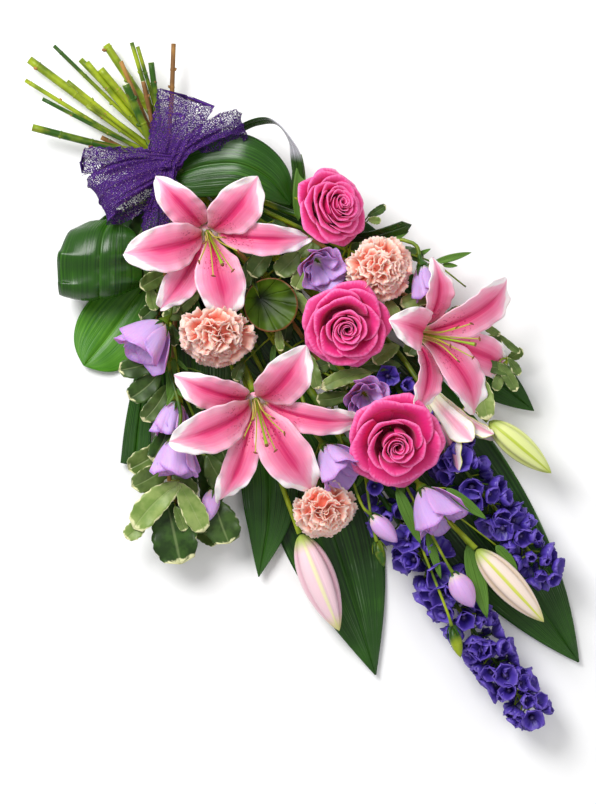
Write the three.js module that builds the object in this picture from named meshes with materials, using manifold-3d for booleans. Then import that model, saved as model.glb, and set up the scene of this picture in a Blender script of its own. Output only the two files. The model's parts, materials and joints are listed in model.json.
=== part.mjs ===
// A tied flower sheaf, laid on its back: lilies, roses, carnations, lisianthus and delphinium over a fan of
// large leaves, bound at the stems and dressed with an open-weave ribbon. Millimetres, +Z up.
//
// The sheaf is laid out on a florist's plan: x to the right, y away from the florist, and z up from the
// table, with the origin on the table under the binding. The plan is then turned by PLAN_TURN.

import * as THREE from "three";
import { mergeVertices } from "three/addons/utils/BufferGeometryUtils.js";
import Module from "manifold-3d";

const wasm = await Module();
wasm.setup();

const V = (x, y, z) => new THREE.Vector3(x, y, z);
const rad = THREE.MathUtils.degToRad;
const lerp = THREE.MathUtils.lerp;
const UP = V(0, 0, 1);

// Driving dimensions

const PLAN_TURN = -35; // degrees, from the plan to the part's own frame
const AIR = 0.3; // clearance between two neighbouring pieces
const PETAL = 0.9; // thickness of a petal
const LEAF = 1.3; // thickness of a large leaf
const LEAFLET = 1.0; // half the thickness of a small leaf at its midrib
const RIBBON = 0.9; // thickness of the ribbon
const GOLDEN = 137.508; // degrees from one floret to the next
const PETAL_SPAN = 174; // degrees that half of a whorled petal's edges span, times the petals in its layer
const CORNER_DROOP = 1; // how far a whorled petal's corners droop, as a share of its step
const CRIMP_LIFT = 0.6; // how far a crimped point rises, as a share of how far it stands out

// Materials

const finish = (color, roughness) => new THREE.MeshStandardMaterial({ color, roughness, metalness: 0 });
const FINISH = {
  lily: finish(0xf48fb6, 0.5),
  paleLily: finish(0xf6d9e0, 0.5),
  greenBud: finish(0xcfd98a, 0.45),
  stamen: finish(0xb7c45a, 0.5),
  rose: finish(0xe8388f, 0.55),
  carnation: finish(0xf5b3a2, 0.7),
  lisianthus: finish(0xb48ddb, 0.55),
  delphinium: finish(0x3b2a8f, 0.6),
  stem: finish(0x7fa03a, 0.5),
  leaf: finish(0x24461f, 0.3),
  broadLeaf: finish(0x4b7a26, 0.35),
  variegated: finish(0x7f9a55, 0.45),
  ribbon: finish(0x4d2396, 0.7),
  twine: finish(0x8a7a55, 0.9),
};

// Solids

// A closed geometry as a solid.
function solid(geometry) {
  const bare = geometry.clone();
  bare.deleteAttribute("normal");
  bare.deleteAttribute("uv");
  const merged = mergeVertices(bare, 1e-4);
  return new wasm.Manifold(
    new wasm.Mesh({
      numProp: 3,
      vertProperties: merged.attributes.position.array,
      triVerts: new Uint32Array(merged.index.array),
    }),
  );
}

// One body from several solids; a scrap that touches nothing is dropped.
function fuse(solids) {
  const joined = solids.reduce((sum, next) => sum.add(next));
  return largest(joined);
}

function largest(whole) {
  const bodies = whole.decompose();
  return bodies.reduce((best, body) => (body.volume() > best.volume() ? body : best));
}

function geometryOf(body) {
  const { numProp, numVert, vertProperties, triVerts } = body.getMesh();
  const position = new Float32Array(numVert * 3);
  for (let i = 0; i < numVert; i++) {
    const first = i * numProp;
    position.set(vertProperties.subarray(first, first + 3), i * 3);
  }
  return new THREE.BufferGeometry()
    .setAttribute("position", new THREE.BufferAttribute(position, 3))
    .setIndex(new THREE.BufferAttribute(triVerts, 1));
}

// A thin sheet: a flat box of across by along cells, bent until its middle follows point(s, t), with s from 0
// at the foot to 1 at the tip and t from -1 to 1 across. grow makes it stouter all round, to cut clearance.
function sheet(point, along, across, thickness, grow = 0) {
  const box = new THREE.BoxGeometry(2, 1, 1, across, along, 1);
  const place = box.attributes.position;
  const h = 1e-3;
  for (let i = 0; i < place.count; i++) {
    const t = place.getX(i);
    const s = place.getY(i) + 0.5;
    const face = place.getZ(i);
    const here = point(s, t);
    const acrossWay = point(s, t + h).sub(point(s, t - h)).normalize();
    const alongWay = point(Math.min(s + h, 1), t).sub(point(Math.max(s - h, 0), t)).normalize();
    const out = acrossWay.clone().cross(alongWay).normalize();
    here.addScaledVector(out, face * (thickness + 2 * grow));
    here.addScaledVector(acrossWay, t * grow).addScaledVector(alongWay, (2 * s - 1) * grow);
    place.setXYZ(i, here.x, here.y, here.z);
  }
  return box;
}

// A round stalk through a list of points, with the given radius at each share of its length.
function stalk(route, radiusAt, steps, sides = 5, grow = 0) {
  const curve = new THREE.CatmullRomCurve3(route);
  const rod = new THREE.CylinderGeometry(1, 1, 1, sides, steps);
  const place = rod.attributes.position;
  const chord = curve.getPoint(1).sub(curve.getPoint(0));
  const level = chord.clone().cross(UP);
  const reference = level.length() > 1e-3 * chord.length() ? level.normalize() : V(1, 0, 0);
  for (let i = 0; i < place.count; i++) {
    const s = place.getY(i) + 0.5;
    const way = curve.getTangent(s);
    const side = reference.clone().addScaledVector(way, -way.dot(reference)).normalize();
    const above = side.clone().cross(way);
    const radius = radiusAt(s) + grow;
    const here = curve.getPoint(s);
    here.addScaledVector(side, place.getX(i) * radius).addScaledVector(above, place.getZ(i) * radius);
    here.addScaledVector(way, (2 * s - 1) * grow);
    place.setXYZ(i, here.x, here.y, here.z);
  }
  return rod;
}

// A stem that passes straight from one point of its route to the next, with a radius at each of them.
function stem(route, radii, sides, grow) {
  const last = route.length - 1;
  return solid(stalk(route, (s) => radii[Math.round(s * last)], last, sides, grow));
}

// The point at a share of a line's length.
function pointOn(line, share) {
  const lengths = line.slice(1).map((p, i) => p.distanceTo(line[i]));
  let left = share * lengths.reduce((a, b) => a + b);
  let i = 0;
  while (i < lengths.length - 1 && left > lengths[i]) left -= lengths[i++];
  return line[i].clone().lerp(line[i + 1], Math.min(left / lengths[i], 1));
}

// A lathe turned about the flower's own axis, from pairs of radius and height.
function turned(profile, sides, grow = 0) {
  const low = Math.min(...profile.map(([, h]) => h));
  const high = Math.max(...profile.map(([, h]) => h));
  const points = profile.map(([r, h]) => {
    const end = h === low ? -grow : h === high ? grow : 0;
    return new THREE.Vector2(r > 0 ? r + grow : 0, h + end);
  });
  return new THREE.LatheGeometry(points, sides).rotateX(Math.PI / 2);
}

// A floret: a funnel with a dished mouth of so many points, its foot at the origin.
function cup({ radius, depth, sides, sink }, grow = 0) {
  const cone = new THREE.ConeGeometry(1, 1, sides, 1);
  const place = cone.attributes.position;
  for (let i = 0; i < place.count; i++) {
    const mouth = place.getY(i) < 0;
    const [x, z] = [place.getX(i), place.getZ(i)];
    const rim = mouth && Math.hypot(x, z) > 0.5;
    const r = rim ? radius + 2 * grow : 0;
    const h = rim ? depth : mouth ? depth - sink + grow : -3 * grow;
    place.setXYZ(i, r * x, r * z, h);
  }
  return cone;
}

// A matrix that stands a flower on its foot at a plan position, leaning tilt degrees from upright.
function stance({ foot, tilt = 0, toward = 0, spin = 0 }) {
  return new THREE.Matrix4()
    .makeTranslation(...foot)
    .multiply(new THREE.Matrix4().makeRotationZ(rad(toward)))
    .multiply(new THREE.Matrix4().makeRotationY(rad(tilt)))
    .multiply(new THREE.Matrix4().makeRotationZ(rad(spin - toward)));
}

const axisOf = (flower) => V(0, 0, 1).transformDirection(stance(flower));
const footOf = ({ foot }) => V(...foot);

// Petals and leaves

// How wide a blade is at s, as a share of its widest: it swells as s to the power rise, and closes as 1 - s
// to the power fall.
function outline(s, rise, fall, least = 0.04) {
  const peak = rise / (rise + fall);
  const full = peak ** rise * (1 - peak) ** fall;
  return Math.max((s ** rise * (1 - s) ** fall) / full, least);
}

// The line that a petal follows, as radius and height from the flower's axis: its lean goes from lean[0] at
// the foot to lean[1] at the tip, in degrees from the axis.
function petalLine(length, lean, power = 1, start = 3) {
  const parts = 24;
  const line = [[start, 0]];
  for (let i = 0; i < parts; i++) {
    const angle = rad(lerp(lean[0], lean[1], ((i + 0.5) / parts) ** power));
    const [r, h] = line[i];
    line.push([r + (Math.sin(angle) * length) / parts, h + (Math.cos(angle) * length) / parts]);
  }
  return (s) => {
    const at = Math.min(Math.max(s, 0), 1) * parts;
    const i = Math.min(Math.floor(at), parts - 1);
    return [lerp(line[i][0], line[i + 1][0], at - i), lerp(line[i][1], line[i + 1][1], at - i)];
  };
}

// A lily's tepal as a sheet's point(s, t), in its flower's own frame. Near the axis, crowd keeps it off its
// neighbours; cup lifts both of its edges, and wave ruffles them.
function tepalBlade({ azimuth, length, width, lean, start, base, cup, wave, waves, phase, crowd }) {
  const line = petalLine(length, lean, 1.1, start);
  const [c, n] = [Math.cos(rad(azimuth)), Math.sin(rad(azimuth))];
  return (s, t) => {
    const [r, h] = line(s);
    const half = Math.min((width / 2) * outline(s, 1, 0.55), crowd * r);
    const lift = (cup * t * t * half) / 2;
    const ruffle = wave * t * t * s * Math.sin(2 * Math.PI * waves * s + phase + (t > 0 ? 0 : 2));
    const out = r - lift;
    return V(out * c - t * half * n, out * n + t * half * c, base + h + lift + ruffle);
  };
}

// Layers of petals folded from one turned surface: up the outside of the outermost layer, over its rim, down
// into the fold, and up the next. Each layer gives its petals' belly, rim and fold as radius and height; a
// petal runs from an inner edge to an outer one, then steps back in, and crimp turns each rim to points.
function whorls({ foot, layers, around, heart, crimp = 0 }, grow = 0) {
  const rows = [{ r: 0, h: AIR }, { r: foot, h: AIR }];
  for (const { count, belly, rim, fold, step } of layers) {
    rows.push({ r: belly[0], h: belly[1], count, step, edge: 0.4 });
    rows.push({ r: rim[0], h: rim[1], count, step, edge: 1 });
    rows.push({ r: rim[0] - PETAL, h: rim[1] + PETAL, count, step, edge: 1, inside: true });
    if (fold) rows.push({ r: fold[0], h: fold[1], inside: true });
  }
  rows.push({ r: 0, h: heart, inside: true });
  const surface = new THREE.LatheGeometry(rows.map(({ r, h }) => new THREE.Vector2(r, h)), around);
  const place = surface.attributes.position;
  for (let i = 0; i < place.count; i++) {
    const { r, h, count = 1, step = 0, edge = 0, inside } = rows[i % rows.length];
    const turn = Math.floor(i / rows.length) % around;
    const per = around / count;
    const t = count > 1 ? ((turn % per) / (per - 1)) * 2 - 1 : 0;
    const middle = ((Math.floor(turn / per) + 0.5) * 360) / count;
    const angle = rad(count > 1 ? middle + (t * PETAL_SPAN) / count : (turn * 360) / around);
    const tooth = edge * (turn % 2 ? crimp : -crimp);
    const out = r > 0 ? (inside ? -grow : grow) : 0;
    const radius = r * (1 + tooth) + step * t * edge + out;
    const droop = CORNER_DROOP * edge * step * t * t;
    const up = r * tooth * CRIMP_LIFT - droop + (inside ? grow : edge ? 0 : -grow);
    place.setXYZ(i, radius * Math.cos(angle), radius * Math.sin(angle), h + up);
  }
  return surface;
}

// A leaf's blade as a sheet's point(s, t) along a curve. roll turns it about its midrib, in degrees at the
// foot and at the tip, and with a power for how late it turns; arch bends its edges down, wave ruffles them.
function leafBlade(spec) {
  const { route, width, rise = 0.6, fall = 0.6, least = 0.04, roll = [0, 0, 1], side: along } = spec;
  const { arch = 0, wave = 0, waves = 2 } = spec;
  const curve = new THREE.CatmullRomCurve3(route);
  const chord = route.at(-1).clone().sub(route[0]);
  const level = along ? V(...along).normalize() : chord.clone().cross(UP).normalize();
  return (s, t) => {
    const way = curve.getTangent(s);
    const side = level.clone().addScaledVector(way, -way.dot(level)).normalize();
    const turn = rad(lerp(roll[0], roll[1], s ** roll[2]));
    side.applyAxisAngle(way, turn);
    const above = side.clone().cross(way);
    const half = (width / 2) * outline(s, rise, fall, least);
    const ruffle = wave * t * t * Math.sin(2 * Math.PI * waves * s + (t > 0 ? 0 : 1.5));
    const here = curve.getPoint(s).addScaledVector(side, t * half);
    here.addScaledVector(above, -arch * t * t * half * 0.5 + ruffle);
    return here.setZ(Math.max(here.z, LEAF / 2));
  };
}

// Seeded draws, so that each build is the same
function seeded(seed) {
  let state = seed;
  return (low, high) => {
    state = (state * 1664525 + 1013904223) % 4294967296;
    return lerp(low, high, state / 4294967296);
  };
}

// The binding: every stem and petiole passes the tie in rows, the longest at the bottom

const GRIP = 13; // half the straight stretch in the tie
const BAND = 2.4; // how far the ribbon's band stands off the stems: it lies flat on the table under them
const ALONG = V(-Math.sin(rad(-PLAN_TURN)), Math.cos(rad(-PLAN_TURN)), 0); // towards the cut ends
const ACROSS = V(Math.cos(rad(-PLAN_TURN)), Math.sin(rad(-PLAN_TURN)), 0);

const BUNDLE = [
  {
    rolled_leaf: 1.9, round_leaf: 1.9, cut_leaf: 1.9, back_leaf_left: 1.9, narrow_leaf: 1.9,
    middle_leaf: 1.9, back_leaf_middle: 1.9, long_leaf: 1.9, side_leaf: 1.9, back_leaf_right: 1.9,
  },
  {
    pittosporum_left: 2.4, carnation_low: 2.2, delphinium_long: 4.2, lisianthus_low: 2, rose_low: 3,
    delphinium_short: 4,
  },
  { lily_low: 3.8, lisianthus_middle: 2, rose_middle: 3, lily_side: 3.8, pittosporum_right: 2.4 },
  {
    lisianthus_left: 2, carnation_left: 2.2, pittosporum_centre: 2.2, carnation_right: 2.2,
    lisianthus_right: 2,
  },
  { galax_leaf: 1.6, pittosporum_top: 2.2, rose_top: 3 },
  { lily_top: 3.8, arched_leaf: 2, looped_leaf: 2 },
];

// Each slot's centre and radius, row by row, with neighbours AIR apart.
const SLOT = {};
let rowFloor = BAND;
for (const row of BUNDLE) {
  const radii = Object.values(row);
  const tallest = Math.max(...radii);
  const width = radii.reduce((sum, r) => sum + 2 * r + AIR, -AIR);
  let edge = -width / 2;
  for (const [name, radius] of Object.entries(row)) {
    const centre = ACROSS.clone().multiplyScalar(edge + radius).setZ(rowFloor + tallest);
    SLOT[name] = { centre, radius };
    edge += 2 * radius + AIR;
  }
  rowFloor += 2 * tallest + AIR;
}
const BUNDLE_TOP = rowFloor;

// The stretch of a stem in the tie, from the cut end's side to the flowers' side
const grip = (slot) => [
  slot.centre.clone().addScaledVector(ALONG, GRIP),
  slot.centre.clone(),
  slot.centre.clone().addScaledVector(ALONG, -GRIP),
];

// Where each stem was cut, on the plan, and how far the row's height grows by then
const CUT_END = {
  pittosporum_left: [-67, 25],
  carnation_low: [-144, 83],
  delphinium_long: [-140, 104],
  lisianthus_low: [-115, 118],
  rose_low: [-88, 104],
  delphinium_short: [-62, 119],
  lily_low: [-136, 34],
  lisianthus_middle: [-81, 56],
  rose_middle: [-81, 100],
  lily_side: [-67, 93],
  pittosporum_right: [7, 119],
  lisianthus_left: [-125, 62],
  carnation_left: [-100, 80],
  pittosporum_centre: [-46, 100],
  carnation_right: [-35, 119],
  lisianthus_right: [-29, 115],
  pittosporum_top: [-23, 79],
  rose_top: [-15, 98],
  lily_top: [-40, 75],
};
const SPREAD = 1.5;
const TAIL = 14; // how far a petiole runs on past the tie

// A stem's route and radii from its cut end, through the tie, by way of the points given, up to a flower. tip
// gives the stem's swelling there, as pairs of distance back from the flower's foot and radius.
function mainStem(name, flower, via, tip) {
  const { centre, radius } = SLOT[name];
  const [x, y] = CUT_END[name];
  const end = V(x, y, centre.z * SPREAD);
  const held = grip(SLOT[name]);
  const neck = backFrom(flower, flower.neck ?? 24);
  const out = held[2];
  const middle = via ? via.map((p) => V(...p)) : [out.clone().lerp(neck, 0.5).setZ(lerp(out.z, neck.z, 0.2))];
  const plain = [end, end.clone().lerp(held[0], 0.5), ...held, ...middle, neck];
  return {
    route: [...plain, ...tip.map(([back]) => backFrom(flower, back))],
    radii: [...plain.map(() => radius), ...tip.map(([, r]) => r)],
  };
}

const backFrom = (flower, back) => footOf(flower).addScaledVector(axisOf(flower), -back);

// Species

const put = (geometry, flower) => solid(geometry.applyMatrix4(stance(flower)));

// A lily: six tepals on a small receptacle, the broad ones inside.
function lilyTepals(flower, grow) {
  const parts = flower.tepals.map(({ azimuth, length, width }, i) => {
    const inside = i < 3;
    const blade = tepalBlade({
      azimuth, length, width, lean: [12, 126], start: inside ? 5 : 8, base: inside ? 5 : 1.4,
      cup: 0.2, wave: 2, waves: 2, phase: i, crowd: 0.85,
    });
    return sheet(blade, 4, 2, PETAL, grow);
  });
  parts.push(turned([[0, AIR], [6, AIR], [13, 9], [0, 9]], 6, grow));
  return fuse(parts.map((g) => put(g, flower)));
}

// A lily that is half open: its tepals still stand in a flaring tube.
function halfOpenLily(flower, grow) {
  const { length } = flower;
  const line = petalLine(length, [6, 34], 2, 7);
  const [bellyR, bellyH] = line(0.5);
  const [rimR, rimH] = line(1);
  const fold = [bellyR - 3 * PETAL, bellyH];
  const layers = [{ count: 3, belly: [bellyR, bellyH], rim: [rimR, rimH], fold, step: 3 }];
  return put(whorls({ foot: 5, layers, around: 15, heart: length * 0.2 }, grow), flower);
}

// Its six filaments and its style, on a button that stands in the throat.
function lilyStamens(flower, grow) {
  const reach = flower.tepals[0].length * 0.72;
  const parts = [];
  for (let i = 0; i < 6; i++) {
    const out = rad(i * 60 + 20);
    const root = V(3 * Math.cos(out), 3 * Math.sin(out), 10);
    const tip = V(Math.cos(out) * 20 + 8, Math.sin(out) * 20, reach);
    parts.push(stalk([root, tip], (s) => lerp(1, 1.4, s), 1, 3, grow));
  }
  const style = [V(0, 0, 10), V(2, 0, reach * 0.5), V(14, 0, reach * 1.15)];
  parts.push(stalk(style, (s) => (s > 0.9 ? 2.6 : 1.3), 2, 3, grow));
  parts.push(turned([[0, 9 + AIR], [4.5, 9 + AIR], [4.5, 11], [0, 11]], 5, grow));
  return fuse(parts.map((g) => put(g, { ...flower, spin: flower.toward })));
}

// A lily bud: six ribbed tepals still closed in a spindle.
function lilyBud(flower, grow) {
  const { length, width } = flower;
  const radius = (s) => (width / 2) * outline(s, 0.62, 0.75, 0.14);
  return put(stalk([V(0, 0, AIR), V(0, 0, length)], radius, 5, 6, grow), flower);
}

// A rose: petals in four layers about a closed heart, each layer further back than the last.
function rosePetals(flower, grow) {
  const R = flower.radius;
  const layers = [
    { count: 5, belly: [0.7 * R, 0.16 * R], rim: [R, 0.42 * R], fold: [0.62 * R, 0.34 * R], step: 2.6 },
    { count: 5, belly: [0.7 * R, 0.48 * R], rim: [0.77 * R, 0.7 * R], fold: [0.44 * R, 0.48 * R], step: 2.2 },
    { count: 3, belly: [0.5 * R, 0.64 * R], rim: [0.53 * R, 0.84 * R], fold: [0.26 * R, 0.6 * R], step: 2 },
    { count: 3, belly: [0.3 * R, 0.74 * R], rim: [0.27 * R, 0.92 * R], step: 1.6 },
  ];
  return put(whorls({ foot: 0.22 * R, layers, around: 15, heart: 0.7 * R }, grow), flower);
}

// A carnation: fringed petals, crimped to points, in four layers that make a ball.
function carnationPetals(flower, grow) {
  const R = flower.radius;
  const layers = [
    { belly: [0.62 * R, 0.1 * R], rim: [0.98 * R, 0.3 * R], fold: [0.66 * R, 0.34 * R] },
    { belly: [0.78 * R, 0.46 * R], rim: [0.86 * R, 0.62 * R], fold: [0.52 * R, 0.52 * R] },
    { belly: [0.56 * R, 0.66 * R], rim: [0.6 * R, 0.84 * R], fold: [0.3 * R, 0.66 * R] },
    { belly: [0.28 * R, 0.8 * R], rim: [0.26 * R, 0.96 * R] },
  ];
  return put(whorls({ foot: 0.2 * R, layers, around: 14, heart: 0.78 * R, crimp: 0.09 }, grow), flower);
}

// A lisianthus: five petals that make a bell, each with one edge over the next.
function lisianthusPetals(flower, grow) {
  const { length, open = 30 } = flower;
  const line = petalLine(length, [44, open], 0.7, 4);
  const [bellyR, bellyH] = line(0.45);
  const [rimR, rimH] = line(1);
  const fold = [bellyR - 2 * PETAL, bellyH + PETAL];
  const layers = [{ count: 5, belly: [bellyR, bellyH], rim: [rimR, rimH], fold, step: 2 }];
  return put(whorls({ foot: 4, layers, around: 15, heart: length * 0.14 }, grow), flower);
}

// A delphinium spike: five-lobed florets in a spiral, standing out of a slimmer core.
function delphiniumFlorets({ from, to, count, radius, seed }, grow) {
  const start = V(...from);
  const end = V(...to);
  const way = end.clone().sub(start).normalize();
  const draw = seeded(seed);
  const middle = start.clone().lerp(end, 0.5);
  const core = (s) => radius * (s < 0.1 ? 0.2 : lerp(0.5, 0.24, s));
  const parts = [stalk([start.clone().addScaledVector(way, AIR), middle, end], core, 4, 5, grow)];
  for (let i = 0; i < count; i++) {
    const s = (i + 0.5) / count;
    const reach = radius * (s < 0.12 ? 0.8 : lerp(1, 0.6, Math.max(0, (s - 0.45) / 0.55)));
    const root = core(s) * 0.6;
    const size = { radius: reach * 0.62, depth: reach - root, sides: 5, sink: reach * 0.3 };
    const floret = cup(size, grow).rotateZ(rad(draw(0, 72)));
    const out = V(0, 0, 1).applyAxisAngle(way, rad(i * GOLDEN));
    const face = out.clone().addScaledVector(way, draw(0.1, 0.5)).normalize();
    floret.applyQuaternion(new THREE.Quaternion().setFromUnitVectors(UP, face));
    const seat = start.clone().lerp(end, s).addScaledVector(out, root);
    parts.push(floret.translate(seat.x, seat.y, seat.z));
  }
  return fuse(parts.map(solid));
}

// A small oval leaf, thickest on its midrib and drooping to its tip, from its seat along a heading.
function leaflet({ seat, heading, rise = 8, length, width, roll = 0 }, grow) {
  const leaf = new THREE.SphereGeometry(1, 4, 3);
  const place = leaf.attributes.position;
  for (let i = 0; i < place.count; i++) {
    const s = (place.getY(i) + 1) / 2;
    const [x, z] = [place.getX(i), place.getZ(i)];
    const along = s * length * (s > 0.6 && s < 0.9 ? 0.92 : 1);
    const half = width / 1.74 + 1.2 * grow;
    const thick = LEAFLET / 0.87 + 1.2 * grow;
    place.setXYZ(i, along + (2 * s - 1) * 2 * grow, -x * half, z * thick - s * s * length * 0.14);
  }
  const turn = new THREE.Euler(rad(roll), rad(-rise), rad(heading), "ZYX");
  return leaf.applyMatrix4(new THREE.Matrix4().makeRotationFromEuler(turn)).translate(seat.x, seat.y, seat.z);
}

// A leafy spray of pittosporum: leaves on alternate sides of a woody branch, most of them near its tip.
function pittosporum({ name, tip, via, count, from = 0.6, leaf = 32, seed }, grow) {
  const { route: line, radii } = mainStem(name, { foot: tip, neck: 30 }, via, [[0, 1.2]]);
  const draw = seeded(seed);
  const parts = [stem(line, radii, 4, grow)];
  for (let i = 0; i < count; i++) {
    const s = lerp(from, 0.985, (i + 0.3) / count);
    const way = pointOn(line, s + 0.01).sub(pointOn(line, s - 0.01)).normalize();
    const ahead = THREE.MathUtils.radToDeg(Math.atan2(way.y, way.x));
    const side = i % 2 ? 1 : -1;
    const heading = ahead + side * lerp(draw(50, 75), draw(10, 30), i / count);
    const rise = i % 4 < 2 ? draw(-4, 6) : draw(20, 32);
    const length = leaf * draw(0.82, 1.12);
    const width = length * draw(0.46, 0.58);
    const blade = { seat: pointOn(line, s), heading, rise, length, width, roll: side * draw(5, 20) };
    parts.push(solid(leaflet(blade, grow)));
  }
  return fuse(parts);
}

// A large leaf whose petiole runs through the tie.
function tiedLeaf(spec, grow) {
  const { name, blade, across = 2, along = 5, lead } = spec;
  const slot = SLOT[name];
  const held = grip(slot);
  held[0].addScaledVector(ALONG, TAIL);
  const route = spec.route.map((p) => V(...p));
  const petiole = [...held, ...lead.map((p) => V(...p)), route[0].clone().lerp(route[1], 0.1)];
  return fuse([
    stem(petiole, petiole.map(() => slot.radius), 4, grow),
    solid(sheet(leafBlade({ ...blade, route }), along, across, LEAF, grow)),
  ]);
}

// The flowers, on the plan

const tepal = (azimuth, length, width) => ({ azimuth, length, width });

const LILIES = {
  lily_top: {
    foot: [42, -73, 62], tilt: 18, toward: -65,
    tepals: [
      tepal(194, 107, 54), tepal(45, 93, 56), tepal(285, 99, 54),
      tepal(133, 93, 38), tepal(355, 113, 36), tepal(240, 98, 38),
    ],
  },
  lily_low: {
    foot: [90, -240, 60], tilt: 22, toward: -75,
    tepals: [
      tepal(206, 110, 54), tepal(50, 99, 56), tepal(306, 122, 58),
      tepal(158, 105, 40), tepal(255, 119, 38), tepal(351, 122, 36),
    ],
  },
  lily_side: {
    foot: [251, -175, 64], tilt: 42, toward: -12,
    tepals: [
      tepal(165, 86, 52), tepal(38, 120, 50), tepal(-57, 112, 56),
      tepal(91, 88, 38), tepal(-15, 120, 44), tepal(-105, 85, 38),
    ],
  },
};
const HALF_OPEN_LILY = {
  foot: [262, -232, 40], tilt: 84, toward: -51, length: 84,
};
const LILY_BUDS = {
  green_bud: { foot: [325, -263, 46], tilt: 86, toward: -40, length: 82, width: 28, finish: "greenBud" },
  cream_bud: { foot: [311, -391, 66], tilt: 90, toward: -47, length: 100, width: 31, finish: "paleLily" },
  pink_bud: { foot: [135, -377, 34], tilt: 90, toward: -68, length: 106, width: 37, finish: "paleLily" },
};
const ROSES = {
  rose_top: { foot: [158, -52, 64], tilt: 26, toward: 15, radius: 42 },
  rose_middle: { foot: [179, -163, 62], tilt: 15, toward: -73, radius: 45 },
  rose_low: { foot: [227, -277, 66], tilt: 18, toward: -69, radius: 49 },
};
const CARNATIONS = {
  carnation_right: { foot: [211, -107, 60], tilt: 18, toward: -40, radius: 37, neck: 34 },
  carnation_left: {
    foot: [51, -166, 54], tilt: 38, toward: -92, radius: 40.5, neck: 24, via: [[30, -80, 33]],
  },
  carnation_low: { foot: [157, -341, 47], tilt: 38, toward: -78, radius: 36, neck: 34 },
};
const LISIANTHUS = {
  lisianthus_a: { foot: [151, -101, 60], tilt: 32, toward: -60, length: 38, open: 40 },
  lisianthus_b: { foot: [-2, -165, 62], tilt: 74, toward: -129, length: 50, open: 16 },
  lisianthus_c: { foot: [199, -235, 52], tilt: 20, toward: -60, length: 36, open: 34, neck: 8 },
  lisianthus_d: { foot: [5, -242, 42], tilt: 84, toward: -106, length: 40, open: 0 },
  lisianthus_e: { foot: [13, -279, 62], tilt: 80, toward: -95, length: 44, open: 12 },
  lisianthus_g: { foot: [160, -289, 66], tilt: 62, toward: -54, length: 46, open: 6 },
  lisianthus_h: { foot: [257, -331, 70], tilt: 74, toward: -58, length: 50, open: 16 },
  lisianthus_i: { foot: [258, -108, 58], tilt: 76, toward: -72, length: 36, open: -6 },
};
const LISIANTHUS_BUDS = {
  left: { foot: [48, -331, 40], tilt: 84, toward: -103, length: 36, width: 18 },
  middle: { foot: [206, -357, 66], tilt: 88, toward: -46, length: 38, width: 19 },
  low: { foot: [288, -415, 68], tilt: 88, toward: -59, length: 40, width: 24 },
  green_middle: { foot: [212, -384, 66], tilt: 88, toward: -74, length: 26, width: 10 },
  green_low: { foot: [287, -469, 64], tilt: 88, toward: -74, length: 32, width: 12 },
};
const DELPHINIUM = {
  delphinium_short: { from: [221, -215, 34], to: [386, -418, 36], count: 26, radius: 26, seed: 7 },
  delphinium_long: { from: [208, -326, 34], to: [371, -563, 30], count: 29, radius: 27, seed: 11 },
};

// Stems

const ROSE_HIP = [[9, 5.5], [3, 15], [0, 9]];
const CARNATION_CALYX = [[16, 3.4], [0, 6]];
const LISIANTHUS_CALYX = [[6, 2.2], [1, 8], [0, 4]];
const TWIG = 1.4; // radius of a side branch
const BUD_STALK = 2.6; // radius of a lily bud's stalk

// A single stem with its calyx.
function rod(name, flower, tip, grow) {
  const { route, radii } = mainStem(name, flower, flower.via, tip);
  return stem(route, radii, 5, grow);
}

// A side branch from a share of its main stem's length to a flower, a lily bud or its own lisianthus bud.
function branch(mainLine, { at, flower, via = [], bud, radius = TWIG }, grow) {
  const start = [pointOn(mainLine, at), ...via.map((p) => V(...p)), backFrom(flower, flower.neck ?? 12)];
  const { width, length } = flower;
  const closed = [[0, 2], [-0.45 * length, width / 2], [-length, 1.2]];
  const tip = bud ? closed : radius === TWIG ? LISIANTHUS_CALYX : [[0, radius]];
  const route = [...start, ...tip.map(([back]) => backFrom(flower, back))];
  return stem(route, [...start.map(() => radius), ...tip.map(([, r]) => r)], 4, grow);
}

function delphiniumStem(name, grow) {
  const { from, to } = DELPHINIUM[name];
  const way = V(...to).sub(V(...from)).normalize();
  const toward = THREE.MathUtils.radToDeg(Math.atan2(way.y, way.x));
  const tilt = THREE.MathUtils.radToDeg(Math.acos(way.z));
  return rod(name, { foot: from, tilt, toward, neck: 40 }, [[AIR, SLOT[name].radius]], grow);
}

// A lisianthus spray: its main stem, its side branches, and the calyx or the closed bud on each.
function spray(name, main, via, side, grow) {
  const { route, radii } = mainStem(name, main, via, LISIANTHUS_CALYX);
  return [stem(route, radii, 5, grow), ...side.map((twig) => branch(route, twig, grow))];
}

const SPRAYS = {
  lisianthus_left: {
    main: LISIANTHUS.lisianthus_e,
    via: [[4, -110, 34], [2, -200, 44]],
    side: [
      { at: 0.5, flower: LISIANTHUS.lisianthus_b },
      { at: 0.7, flower: LISIANTHUS.lisianthus_d },
      { at: 0.8, flower: LISIANTHUS_BUDS.left, bud: true },
    ],
  },
  lisianthus_middle: {
    main: LISIANTHUS.lisianthus_g,
    via: [[80, -140, 26], [130, -220, 36]],
    side: [{ at: 0.66, flower: LISIANTHUS.lisianthus_c, via: [[165, -218, 44]] }],
  },
  lisianthus_low: {
    main: LISIANTHUS.lisianthus_h,
    via: [[100, -130, 16], [200, -256, 26]],
    side: [
      { at: 0.7, flower: LISIANTHUS_BUDS.middle, bud: true },
      { at: 0.86, flower: LISIANTHUS_BUDS.low, bud: true },
      { at: 0.8, flower: LISIANTHUS_BUDS.green_middle, bud: true },
      { at: 0.84, flower: LISIANTHUS_BUDS.green_low, bud: true },
    ],
  },
  lisianthus_right: {
    main: LISIANTHUS.lisianthus_i,
    via: [[80, -32, 29], [170, -70, 31]],
    side: [{ at: 0.42, flower: LISIANTHUS.lisianthus_a, via: [[125, -88, 37]] }],
  },
};

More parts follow.
